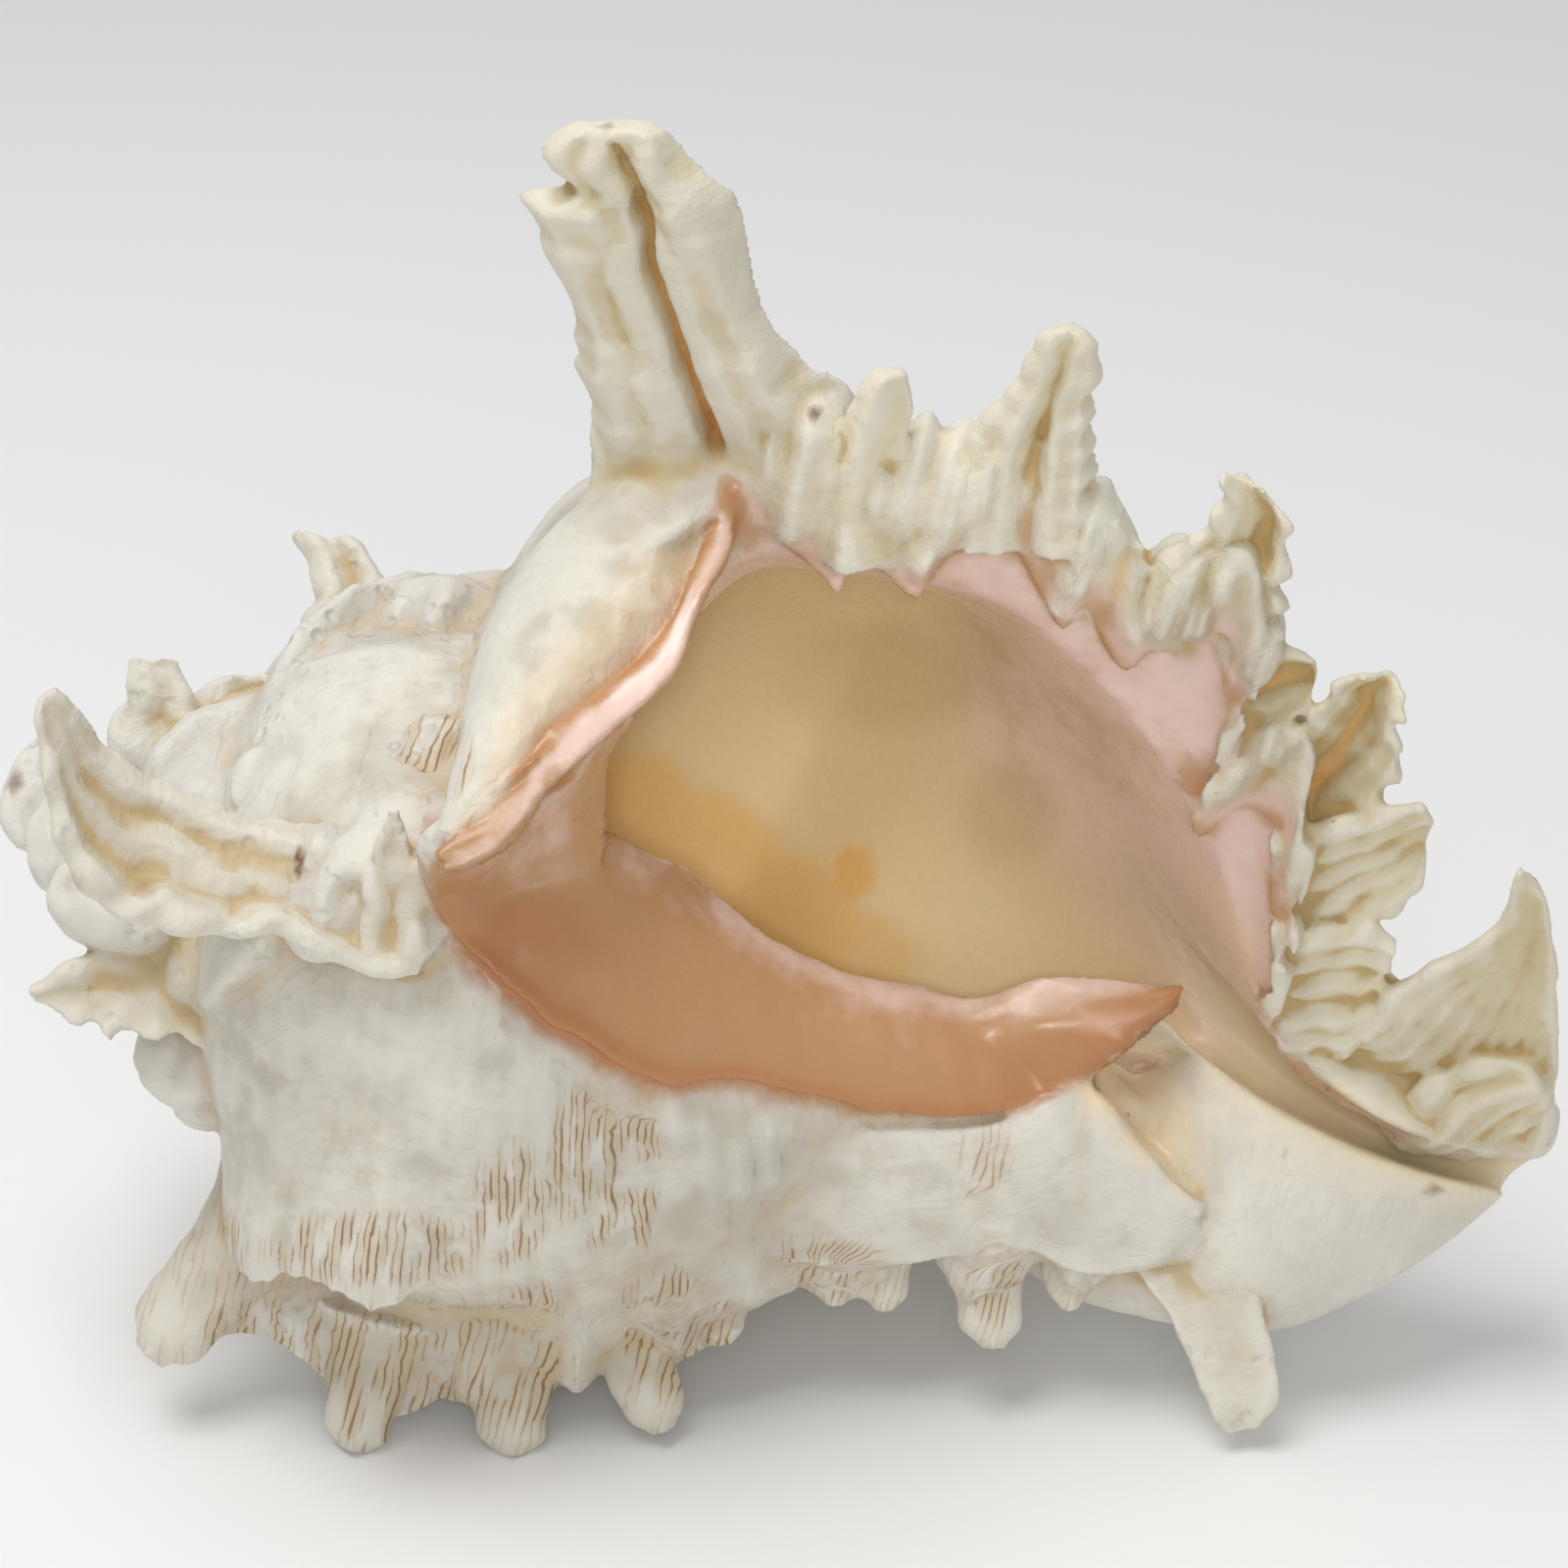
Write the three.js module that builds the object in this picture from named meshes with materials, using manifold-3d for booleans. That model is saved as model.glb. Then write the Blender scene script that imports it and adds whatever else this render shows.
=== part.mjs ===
// A large ramose murex shell, lying on its back on its worn spine tips, with its mouth up and to the
// front.
//
// The shell coils round a straight axis. A place on it is given by its distance along that axis from the
// apex, its distance out from the axis, and its angle round the axis. Lengths are in millimetres and
// angles in degrees. Growth is counted in degrees of turn: the outer lip is at turn 0, and older shell has
// negative turns.

import * as THREE from 'three';
import { mergeVertices } from 'three/addons/utils/BufferGeometryUtils.js';
import Module from 'manifold-3d';

const wasm = await Module();
wasm.setup();

// Growth
const GROWTH_PER_TURN = 1.85;
const OLDEST_TURN = -1120;
const LIP_ANGLE = 35;
const SUTURE_LEAD = 46;
const LEAD_SHARE = 0.32;
const DESCENT = 6;
const DESCENT_TURN = -220;
const CANAL_FROM = 120;
const CANAL_TO = 190;
const CANAL_SLOWING = 0.45;
// How finely the whorls are cut into facets: degrees of turn per stretch, degrees by which stretches
// overlap, and the degrees per step and the steps along the outline of the last whorl and of the older
// ones
const STRETCH = 120;
const STRETCH_OVERLAP = 6;
const LAST_WHORL_FACETS = [12, 17];
const OLD_WHORL_FACETS = [18, 8];

// The whorl's outline at the lip, from the suture to the canal: distance along, distance out, height of a
// full varix
const WHORL_OUTLINE = [
  [49, 28, 0], [51, 40, 4], [57, 53, 9], [68, 62, 12], [85, 67, 15], [100, 67.5, 17], [116, 63, 16],
  [130, 54, 15], [142, 43, 14], [152, 31, 11], [163, 22, 8], [176, 15, 5], [188, 9, 2],
];
const CORE_RADIUS = 1.5;

// Varices, the thick ribs where growth paused, counted back from the lip
const VARIX_TURNS = [0, -110, -217, -313, -428, -526, -625, -725, -825];
// Ribs and knobs: turn of the crest, share of a full varix's height, and the stretch of the outline that
// they cover
const RIBS = [
  [VARIX_TURNS[0], 1, 0, 1], [VARIX_TURNS[1], 1, 0, 1], [VARIX_TURNS[2], 1, 0, 1],
  [VARIX_TURNS[3], 1, 0, 0.36], [VARIX_TURNS[4], 0.8, 0, 0.5], [VARIX_TURNS[5], 0.8, 0, 0.5],
  [VARIX_TURNS[6], 0.7, 0, 0.5], [VARIX_TURNS[7], 0.7, 0, 0.5], [VARIX_TURNS[8], 0.6, 0, 0.5],
  [-60, 0.5, 0.16, 0.45], [-155, 0.7, 0.3, 0.52], [-245, 1.1, 0.17, 0.22], [-245, 0.8, 0.22, 0.32],
  [-395, 0.8, 0.14, 0.42],
];
const RIB_FADE = 0.08;
// Degrees over which a rib rises by the suture and by the canal, between which shares of the outline that
// changes, and degrees over which it falls
const RIB_RISE = [22, 44];
const RIB_RISE_SHARES = [0.4, 0.7];
const RIB_FALL = 10;

// The hollow inside, its section at the lip: the outer side from the back corner to the canal, then the
// inner side. Each point has its distance along, its distance out at the mouth and its distance out deeper
// inside
const HOLLOW_OUTLINE = [
  [55, 41, 41], [60, 50, 50], [68, 57, 57], [85, 62, 62], [100, 62.5, 62.5], [116, 58, 58], [130, 49, 49],
  [142, 37.5, 37.5], [151, 24, 24], [156, 11, 11], [146, 5, 5], [126, 5.5, 4], [108, 9, 4], [97, 15, 5],
  [88, 21.5, 7], [78, 29, 13], [68, 35.5, 25], [60, 39, 36],
];
const HOLLOW_MIDDLE = [100, 38];
const HOLLOW_FRONT_TURN = 52;
const HOLLOW_END_TURN = -270;
const HOLLOW_STEP = 16;
const HOLLOW_TAPER = 70;
const HOLLOW_END_SIZE = 0.25;
const HOLLOW_LEAD_TO = 78;
const HOLLOW_DEEPENS = [-28, 4];

// The present canal and the stub of the old one: distance along, then the height and the depth towards the
// front of the section's upper end and of its lower end, and its half thickness
const CANAL = [
  [126, 10, -6, -22, -6, 8], [140, 16, -4, -26, -4, 11], [153, 19, 0, -25, 0, 12],
  [165, 18.5, 0, -22.5, 0, 11], [174, 15.5, 0, -15.5, 0, 9], [182, 14.5, 0, -6.5, 0, 7],
  [188, 14, 0, 2, 0, 5], [191, 12, 0, 6, 0, 2.5],
];
const OLD_CANAL = [
  [100, -4, 8, -23, 0, 6], [118, -3, 8, -24, 1, 5], [134, -1, 8, -22, 3, 4], [145, -6, 8, -20.5, 4, 3.4],
  [151, -10, 8, -18, 5, 2.8],
];
const HORN_SIDES = 12;
// The open slit of the canal: distance along, height, half width
const SLIT = [
  [146, 11, 5], [153, 9.5, 4], [160, 6.5, 3], [169, 3.5, 2.2], [178, 2.5, 2], [186, 3, 2], [195, 4, 2],
];
const SLIT_FLOOR = -2;
const SLIT_TOP = 40;

// The callus on the inner lip: distance along, angle of its free edge
const CALLUS = [
  [54, 82], [59, 91], [63, 94], [72, 100], [80, 107], [93, 108], [110, 118], [120, 117], [127, 107],
  [132, 87],
];
const CALLUS_INNER_ANGLE = 44;
const CALLUS_PROUD = 2.4;
const CALLUS_ROOT = 4;
const CALLUS_STEPS = 6;
const CORE_SIDE = 1;
const OUTLINE_SAMPLES = 80;

// Spines and fronds: distances along and out of the root and the tip, width of the root and the tip, how
// many degrees the tip leans ahead of its varix, and how far the groove is turned from the side that faced
// the mouth
const LIP_FRONDS = [
  [71, 61, 55.5, 106, 27, 17, 0, 0], [88, 77, 88, 88, 12, 7, 2, 0], [104, 77, 106, 96, 18, 9, 0, 0],
  [117, 66, 118, 77, 12, 8, 6, 0], [128, 69, 129, 87, 16, 6, 0, 0], [131, 67, 137, 80, 11, 5, 0, 0],
  [138, 58, 144, 66, 10, 5, 3, 0], [145, 47, 153, 65, 16, 8, 0, 0], [149, 38, 160, 51, 14, 7, 2, 0],
  [151, 30, 161, 42, 12, 6, 5, 0], [152, 21, 163, 29, 13, 7, 10, 0], [165, 14, 173, 45, 22, 9, 6, 0],
  [174, 9, 182, 33, 18, 8, 10, 0],
];
const FRINGE_SPINES = [
  [43, 42, 32, 61, 13, 10, 0, 0], [59, 53, 59, 66, 11, 7.5, 0, 0], [75, 49, 78, 61.5, 11, 8, 0, 0],
  [87, 41, 95, 54, 11, 7, 0, 0], [96, 34, 99, 42, 10, 6, 0, 0], [109, 24, 111, 34, 9, 5.5, 0, 0],
  [115, 21, 117, 33, 9, 5.5, 0, 0], [127, 18, 131, 34, 11, 7, 0, 0], [136, 15, 139, 27, 9, 5, 0, 0],
];
const SPIRE_SPINES = {
  3: [[32, 33, 9.5, 57, 21, 8, -10, -75], [46, 42, 48, 53, 9, 4, -7, -75]],
  4: [[27, 27, 21, 50, 12, 7, 0, 0], [40, 33, 42, 40, 9, 6, 0, 0]],
  5: [[22, 22, 19, 38, 9, 6, 0, 0], [36, 27, 37, 33, 8, 6, 0, 0]],
  6: [[24, 19, 11, 30, 9, 4, 0, 0], [30, 22, 31, 28, 7, 4, 0, 0]],
  7: [[18, 12, 12, 26, 7, 4, 0, 0], [25, 14, 24, 26, 7, 4, 0, 0]],
  8: [[13, 9, 9, 20, 5, 3, 0, 0]],
};
const OLD_CANAL_SPINE = [146, 14, 163, 38, 14, 9.5, 0, 0];
const BACK_SPINE_SCALE = 1.2;
const BACK_SPINE_FADE = [90, 150];
const SPINE_BOW = 0.03;
const SPINE_THICKNESS = 0.75;
const SPINE_SET_BACK = 0.4;
const LONG_SPINE = 20;
const LONG_SPINE_STEPS = 4;
const SHORT_SPINE_STEPS = 2;
// A spine's cross-section, as shares of its half width and of its thickness, with the groove on the last
// side
const SPINE_SECTION = [
  [-1, 0], [-0.72, -0.75], [0, -1], [0.72, -0.75], [1, 0], [0.6, 0.5], [0, 0], [-0.6, 0.5],
];

// How it lies: the angle round the axis that faces down, how far the canal end dips, how far the axis is
// turned from X, and the height of the axis at the apex over the plane to which the lowest tips are worn
const DOWN_ANGLE = 210;
const CANAL_DIP = 13;
const VIEW_TURN = -7.4;
const FLOOR_DROP = 67.6;
const FLOOR_BLOCK = 1000;

const rad = THREE.MathUtils.degToRad;
const { lerp, smoothstep } = THREE.MathUtils;

const restPose = new THREE.Matrix4()
  .makeTranslation(0, 0, FLOOR_DROP)
  .multiply(new THREE.Matrix4().makeRotationZ(rad(VIEW_TURN)))
  .multiply(new THREE.Matrix4().makeRotationY(rad(CANAL_DIP)))
  .multiply(new THREE.Matrix4().makeRotationX(rad(180 - DOWN_ANGLE)));

function spot(along, out, angle) {
  return new THREE.Vector3(along, -out * Math.sin(rad(angle)), out * Math.cos(rad(angle)));
}

function growth(turn) {
  return GROWTH_PER_TURN ** (turn / 360);
}

// Solids

function solidFrom(geometry) {
  const { index, attributes } = geometry;
  const vertProperties = new Float32Array(attributes.position.array);
  const triVerts = new Uint32Array(index.array);
  return new wasm.Manifold(new wasm.Mesh({ numProp: 3, vertProperties, triVerts }));
}

// Triangles that close a ring: a strip from its first half to its second half, which runs back the other
// way
function capTriangles(count) {
  const triangles = [];
  for (let i = 0; i + 1 < count / 2; i += 1) {
    const j = count - 1 - i;
    triangles.push([i, i + 1, j], [i + 1, j - 1, j]);
  }
  return triangles;
}

// A closed solid through a row of rings that all have the same number of points, set down in the rest pose
function loft(rings) {
  const count = rings[0].length;
  const points = rings.flat().map((p) => p.clone().applyMatrix4(restPose));
  const triangles = [];
  for (let i = 0; i + 1 < rings.length; i += 1) {
    for (let j = 0; j < count; j += 1) {
      const a = i * count + j;
      const b = i * count + ((j + 1) % count);
      triangles.push([a, b, b + count], [a, b + count, a + count]);
    }
  }
  const last = (rings.length - 1) * count;
  capTriangles(count).forEach(([a, b, c]) => {
    triangles.push([c, b, a], [last + a, last + b, last + c]);
  });
  let volume = 0;
  triangles.forEach(([a, b, c]) => {
    volume += points[a].dot(points[b].clone().cross(points[c]));
  });
  const outward = volume > 0 ? triangles : triangles.map(([a, b, c]) => [a, c, b]);
  const geometry = new THREE.BufferGeometry().setFromPoints(points);
  geometry.setIndex(outward.flat());
  return solidFrom(geometry);
}

// Whorls

const whorlCurve = new THREE.CatmullRomCurve3(WHORL_OUTLINE.map((p) => new THREE.Vector3(...p)));

function alongAt(along, turn) {
  const slowing = CANAL_SLOWING * smoothstep(along, CANAL_FROM, CANAL_TO);
  return along * growth(turn) ** (1 - slowing);
}

// A rib rises slowly to its crest, most slowly towards the canal, and falls off steeply after it
function ribShape(turn, crest, share) {
  if (turn >= crest) return 1 - smoothstep(turn, crest, crest + RIB_FALL);
  const rise = lerp(...RIB_RISE, smoothstep(share, ...RIB_RISE_SHARES));
  return smoothstep(turn, crest - rise, crest);
}

function ribHeight(turn, share) {
  const heights = RIBS.map(([crest, size, from, to]) => {
    const stretch = smoothstep(share, from - RIB_FADE, from) * (1 - smoothstep(share, to, to + RIB_FADE));
    return size * stretch * ribShape(turn, crest, share);
  });
  return Math.max(...heights);
}

function lead(share) {
  return SUTURE_LEAD * (1 - smoothstep(share, 0, LEAD_SHARE));
}

function whorlRing(turn, steps) {
  const outside = [];
  const core = [];
  whorlCurve.getSpacedPoints(steps).forEach((p, i) => {
    const share = i / steps;
    const local = turn + lead(share);
    const early = 1 - smoothstep(local, DESCENT_TURN, 0);
    const back = DESCENT * growth(local) * early * Math.max(0, 1 - share / LEAD_SHARE);
    const along = alongAt(p.x, local) - back;
    const out = (p.y + p.z * ribHeight(turn, share)) * growth(local);
    outside.push(spot(along, out, LIP_ANGLE + local));
    core.unshift(spot(along, CORE_RADIUS * growth(local), LIP_ANGLE + local));
  });
  return [...outside, ...core];
}

// One stretch of whorl, as a wedge from the axis outwards
function whorlStretch(from, to, step, steps) {
  const count = Math.ceil((to - from) / step);
  const rings = [];
  for (let i = 0; i <= count; i += 1) {
    rings.push(whorlRing(lerp(from, to, i / count), steps));
  }
  return loft(rings);
}

function whorls() {
  const stretches = [];
  for (let to = 0; to > OLDEST_TURN; to -= STRETCH) {
    const facets = to > -360 ? LAST_WHORL_FACETS : OLD_WHORL_FACETS;
    stretches.push(whorlStretch(to - STRETCH - STRETCH_OVERLAP, to, ...facets));
  }
  return stretches;
}

// The hollow behind the mouth, which narrows to an end deep inside
function hollow() {
  const rings = [];
  for (let turn = HOLLOW_FRONT_TURN; turn >= HOLLOW_END_TURN; turn -= HOLLOW_STEP) {
    const tapered = smoothstep(turn, HOLLOW_END_TURN, HOLLOW_END_TURN + HOLLOW_TAPER);
    const open = lerp(HOLLOW_END_SIZE, 1, tapered);
    const ring = HOLLOW_OUTLINE.map(([sectionAlong, mouthOut, deepOut]) => {
      const sectionOut = lerp(deepOut, mouthOut, smoothstep(turn, ...HOLLOW_DEEPENS));
      const along = lerp(HOLLOW_MIDDLE[0], sectionAlong, open);
      const out = lerp(HOLLOW_MIDDLE[1], sectionOut, open);
      const local = turn + SUTURE_LEAD * (1 - smoothstep(along, HOLLOW_OUTLINE[0][0], HOLLOW_LEAD_TO));
      return spot(alongAt(along, local), out * growth(local), LIP_ANGLE + local);
    });
    rings.push(ring);
  }
  return loft(rings);
}

// Canals

// A closed horn of oval sections, with its rounded ends in the plane of each section
function horn(stations) {
  return loft(stations.map(([along, topHeight, topDepth, lowHeight, lowDepth, thickness]) => {
    const top = new THREE.Vector3(along, -topDepth, topHeight);
    const low = new THREE.Vector3(along, -lowDepth, lowHeight);
    const middle = top.clone().add(low).multiplyScalar(0.5);
    const half = top.clone().sub(middle);
    const across = new THREE.Vector3(1, 0, 0).cross(half).setLength(thickness);
    const ring = [];
    for (let i = 0; i < HORN_SIDES; i += 1) {
      const angle = (2 * Math.PI * (i + 0.5)) / HORN_SIDES;
      const point = middle.clone().addScaledVector(half, Math.cos(angle));
      ring.push(point.addScaledVector(across, Math.sin(angle)));
    }
    return ring;
  }));
}

function slit() {
  return loft(SLIT.map(([along, height, half]) => [
    new THREE.Vector3(along, -SLIT_TOP, height - half),
    new THREE.Vector3(along, -SLIT_TOP, height + half),
    new THREE.Vector3(along, -SLIT_FLOOR - half, height + half),
    new THREE.Vector3(along, -SLIT_FLOOR, height + half / 2),
    new THREE.Vector3(along, -SLIT_FLOOR, height - half / 2),
    new THREE.Vector3(along, -SLIT_FLOOR - half, height - half),
  ]));
}

// Callus

// Distance out of the surface of the whorl before the present one
function innerWhorlOut(along, angle) {
  const turn = angle - LIP_ANGLE - 360;
  const points = whorlCurve.getSpacedPoints(OUTLINE_SAMPLES);
  const places = points.map((p) => alongAt(p.x, turn));
  const i = places.findIndex((place) => place > along);
  if (i <= 0) return points[points.length - 1].y * growth(turn);
  const share = (along - places[i - 1]) / (places[i] - places[i - 1]);
  return lerp(points[i - 1].y, points[i].y, share) * growth(turn);
}

function callus() {
  return loft(CALLUS.map(([along, edge]) => {
    const top = [];
    const under = [];
    for (let i = 0; i <= CALLUS_STEPS; i += 1) {
      const angle = lerp(CALLUS_INNER_ANGLE, edge, i / CALLUS_STEPS);
      const out = innerWhorlOut(along, angle);
      top.push(spot(along, out + CALLUS_PROUD, angle));
      under.unshift(spot(along, Math.max(out - CALLUS_ROOT, CORE_SIDE), angle));
    }
    return [...top, ...under];
  }));
}

// Spines

function spine([rootAlong, rootOut, tipAlong, tipOut, rootWidth, tipWidth, lean, grooveTurn], turn) {
  const angle = LIP_ANGLE + turn;
  const root = spot(rootAlong, rootOut, angle);
  const tip = spot(tipAlong, tipOut, angle + lean);
  const way = tip.clone().sub(root);
  const length = way.length();
  way.normalize();
  const ahead = spot(0, 1, angle + 90).projectOnPlane(way).normalize().applyAxisAngle(way, rad(grooveTurn));
  const side = ahead.clone().cross(way);
  const steps = length > LONG_SPINE ? LONG_SPINE_STEPS : SHORT_SPINE_STEPS;
  const rings = [];
  for (let i = 0; i <= steps; i += 1) {
    const share = i / steps;
    const bow = length * SPINE_BOW * Math.sin(Math.PI * share);
    const middle = root.clone().addScaledVector(way, length * share).addScaledVector(side, bow);
    const half = lerp(rootWidth, tipWidth, share) / 2;
    const depth = half * SPINE_THICKNESS;
    rings.push(SPINE_SECTION.map(([across, forward]) => {
      const point = middle.clone().addScaledVector(side, across * half);
      return point.addScaledVector(ahead, (forward - SPINE_SET_BACK) * depth);
    }));
  }
  return loft(rings);
}

// The same spine on the varix before the lip, which is hidden behind the shell and larger
function backSpine([rootAlong, rootOut, tipAlong, tipOut, rootWidth, tipWidth, ...turns]) {
  const stretch = lerp(BACK_SPINE_SCALE, 1, smoothstep(rootAlong, ...BACK_SPINE_FADE));
  const lengths = [rootOut, tipOut, rootWidth, tipWidth].map((length) => length * BACK_SPINE_SCALE);
  return [rootAlong * stretch, lengths[0], tipAlong * stretch, lengths[1], lengths[2], lengths[3], ...turns];
}

function spines() {
  const made = LIP_FRONDS.map((frond) => spine(frond, VARIX_TURNS[0]));
  FRINGE_SPINES.forEach((row) => {
    made.push(spine(backSpine(row), VARIX_TURNS[1]), spine(row, VARIX_TURNS[2]));
  });
  made.push(spine(OLD_CANAL_SPINE, VARIX_TURNS[2]));
  Object.entries(SPIRE_SPINES).forEach(([varix, rows]) => {
    rows.forEach((row) => made.push(spine(row, VARIX_TURNS[varix])));
  });
  return made;
}

// The shell

function floorBlock() {
  const box = new THREE.BoxGeometry(FLOOR_BLOCK, FLOOR_BLOCK, FLOOR_BLOCK);
  box.translate(0, 0, -FLOOR_BLOCK / 2);
  box.deleteAttribute('normal');
  box.deleteAttribute('uv');
  return solidFrom(mergeVertices(box));
}

function joined(solids) {
  return solids.reduce((whole, solid) => whole.add(solid));
}

function shellSolid() {
  const body = joined([...whorls(), horn(CANAL)]);
  const opened = body.subtract(hollow()).subtract(slit());
  const dressed = joined([opened, callus(), horn(OLD_CANAL), ...spines()]);
  return dressed.subtract(floorBlock());
}

function shellMesh() {
  const { vertProperties, triVerts } = shellSolid().getMesh();
  const geometry = new THREE.BufferGeometry();
  geometry.setAttribute('position', new THREE.BufferAttribute(vertProperties, 3));
  geometry.setIndex(new THREE.BufferAttribute(triVerts, 1));
  geometry.computeVertexNormals();
  geometry.computeBoundingBox();
  const middle = geometry.boundingBox.getCenter(new THREE.Vector3());
  const material = new THREE.MeshStandardMaterial({ color: 0xe6e0d0, roughness: 0.65, metalness: 0 });
  const mesh = new THREE.Mesh(geometry, material);
  mesh.name = 'shell';
  mesh.position.set(-middle.x, -middle.y, 0);
  return mesh;
}

const murexShell = new THREE.Group();
murexShell.add(shellMesh());

export default murexShell;
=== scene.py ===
"""A large ramose murex shell, lying on its worn spine tips with its mouth up and to the front.

The shell is modelled round its own straight axis, in millimetres: a place on it has a distance along the
axis from the apex, a distance out from the axis and an angle round it. Growth is counted in degrees of turn:
the outer lip is at turn 0, and older shell has negative turns. At the end the whole shell is set down in the
part's frame, in metres.
"""
import math

import bpy
import numpy as np
from mathutils import Matrix, Vector
from mathutils.kdtree import KDTree


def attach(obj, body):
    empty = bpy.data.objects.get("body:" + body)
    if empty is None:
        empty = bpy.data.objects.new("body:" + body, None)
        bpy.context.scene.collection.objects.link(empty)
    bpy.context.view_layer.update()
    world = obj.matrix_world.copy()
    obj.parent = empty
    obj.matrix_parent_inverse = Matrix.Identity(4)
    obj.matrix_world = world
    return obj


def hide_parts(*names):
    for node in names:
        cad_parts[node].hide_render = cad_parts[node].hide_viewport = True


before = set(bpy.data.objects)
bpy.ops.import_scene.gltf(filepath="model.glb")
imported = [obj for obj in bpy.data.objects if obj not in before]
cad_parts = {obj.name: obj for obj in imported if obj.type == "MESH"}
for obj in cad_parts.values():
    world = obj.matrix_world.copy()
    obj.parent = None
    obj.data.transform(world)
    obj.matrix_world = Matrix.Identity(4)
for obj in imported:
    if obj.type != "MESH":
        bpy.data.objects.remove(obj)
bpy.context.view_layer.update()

# Growth
GROWTH_PER_TURN = 1.85
OLDEST_TURN = -1120
LIP_ANGLE = 35
FLANGE_TURN = -1.5
SUTURE_LEAD = 46
LEAD_SHARE = 0.32
DESCENT = 6
DESCENT_TURN = -220
CANAL_FROM = 120
CANAL_TO = 190
CANAL_SLOWING = 0.45

# The whorl's outline at the lip, from the suture to the canal: distance along, distance out, height of a
# full varix
WHORL_OUTLINE = [
    (49, 28, 0), (51, 40, 4), (57, 53, 9), (68, 62, 12), (85, 67, 15), (100, 67.5, 17), (116, 63, 16),
    (130, 54, 15), (142, 43, 14), (152, 31, 11), (163, 22, 8), (176, 15, 5), (188, 9, 2),
]
CORE_RADIUS = 1.5
VARIX_TURNS = [0, -110, -217, -313, -428, -526, -625, -725, -825]

# Ribs and knobs: turn of the crest, share of a full varix's height, the stretch of the outline that they
# cover, over how many degrees they rise by the suture and by the canal and fall again, and how much
# earlier they crest by the suture
RIBS = [
    (FLANGE_TURN, 0.8, 0, 1, 22, 44, 10, 18), (-110, 1, 0, 1, 22, 40, 10, 0),
    (-217, 1, 0, 1, 13, 30, 10, 0),
    (-313, 1, 0, 0.36, 22, 30, 10, 0), (-428, 0.9, 0, 0.5, 18, 30, 8, 0),
    (-526, 0.8, 0, 0.5, 22, 30, 10, 0),
    (-625, 0.7, 0, 0.5, 22, 30, 10, 0), (-725, 0.7, 0, 0.5, 22, 30, 10, 0),
    (-825, 0.6, 0, 0.5, 22, 30, 10, 0),
    (-60, 0.5, 0.16, 0.45, 22, 30, 10, 0), (-155, 0.7, 0.3, 0.52, 22, 30, 10, 0),
    (-246, 1.3, 0.17, 0.22, 26, 30, 2.5, 0), (-246, 0.9, 0.22, 0.34, 26, 30, 2.5, 0),
    (-395, 0.9, 0.14, 0.42, 14, 30, 8, 0), (-455, 0.6, 0.1, 0.42, 14, 30, 8, 0),
]
RIB_FADE = 0.08
RIB_SHARES = (0.4, 0.7)
# A rib that falls over fewer degrees than this is a ledge with a scalloped edge
LEDGE_FALL = 5
ROLL_SHARES = (0.18, 0.36)
CORDS = 36
CORD_HEIGHT = 0.4
MOTTLES = 0.45
WEB_DIP = 0.25
WEB_SPINE_WIDTH = 0.018
WEB_GROWTH = 0.9
CORD_WANDER = (2, 17)
CORD_UNEVEN = (0.7, 0.5)
LUMP_SIZES = (7, 3.2)
SMALL_LUMPS = 0.6
SCALLOPS = 46
SCALLOP_DEPTH = 0.16
WORN_FROM = (-330, -400)
WORN_LUMPS = 1.1
# From this turn on the whorls are cut finely. Older ones are chalky, and the chalk fades out at a later turn
FINE_TURN = -420
OLD_STEP = 4
FINE_ROWS = 340
WHORL_COLUMNS = 180
CHALK_ENDS = -330
# The cut end of the whorls at the lip
END_ROWS = 40
END_BEHIND = 8
END_TURNS = 30
# Samples of an outline in which places are looked up
OUTLINE_SAMPLES = 200
SURFACE_SAMPLES = 80

# The hollow behind the mouth, at the lip: distances along and out of its outer side, and of its inner side
# next to the axis
HOLLOW_OUTSIDE = [
    (64, 46), (66, 49), (71, 52), (80, 55), (91, 57), (101, 57.5), (110, 55.5), (119, 51), (128, 44.5),
    (136, 37), (144, 28), (151, 19), (156, 11),
]
HOLLOW_INSIDE = [
    (64, 42), (66, 36), (70, 22), (78, 12), (90, 5), (102, 2.5), (115, 2.5), (128, 4), (141, 5), (152, 7),
]
HOLLOW_NARROWS = 0.2
LIP_FLARE = 6
LIP_FLARE_TURNS = (-18, 3)
# Where the inner lip's ridge runs: how far ahead of the outer lip, and how far out
RIDGE_LEAD = [40, 36, 31, 28, 33, 31, 18, 5, 0, 0]
RIDGE_OUT = [46, 43, 40, 34, 27, 19.5, 17, 15, 15, 13]
RIDGE_FALL = 13
HOLLOW_FRONT_TURN = 8
HOLLOW_END_TURN = -270
HOLLOW_STEP = 3.0
HOLLOW_COLUMNS = 60
# Stretches along the axis: where the hollow stops leading like the suture, where the lip starts and stops to
# flare, where the hollow starts to narrow, and where its painted tan shade reaches further out; then the
# turns over which it narrows, how many degrees the painted shade takes to fade at both ends, and where it
# ends
LEAD_STRETCH = (55, 78)
FLARE_STARTS = (66, 78)
FLARE_STOPS = (136, 150)
NARROW_STRETCH = (104, 122)
TAN_STRETCH = (98, 122)
NARROW_TURNS = (8, 60)
TAN_FADE = (10, 70)
TAN_ENDS = -10
OUTER_WARMTH = 0.12
INNER_WARMTH = 0.45

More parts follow.
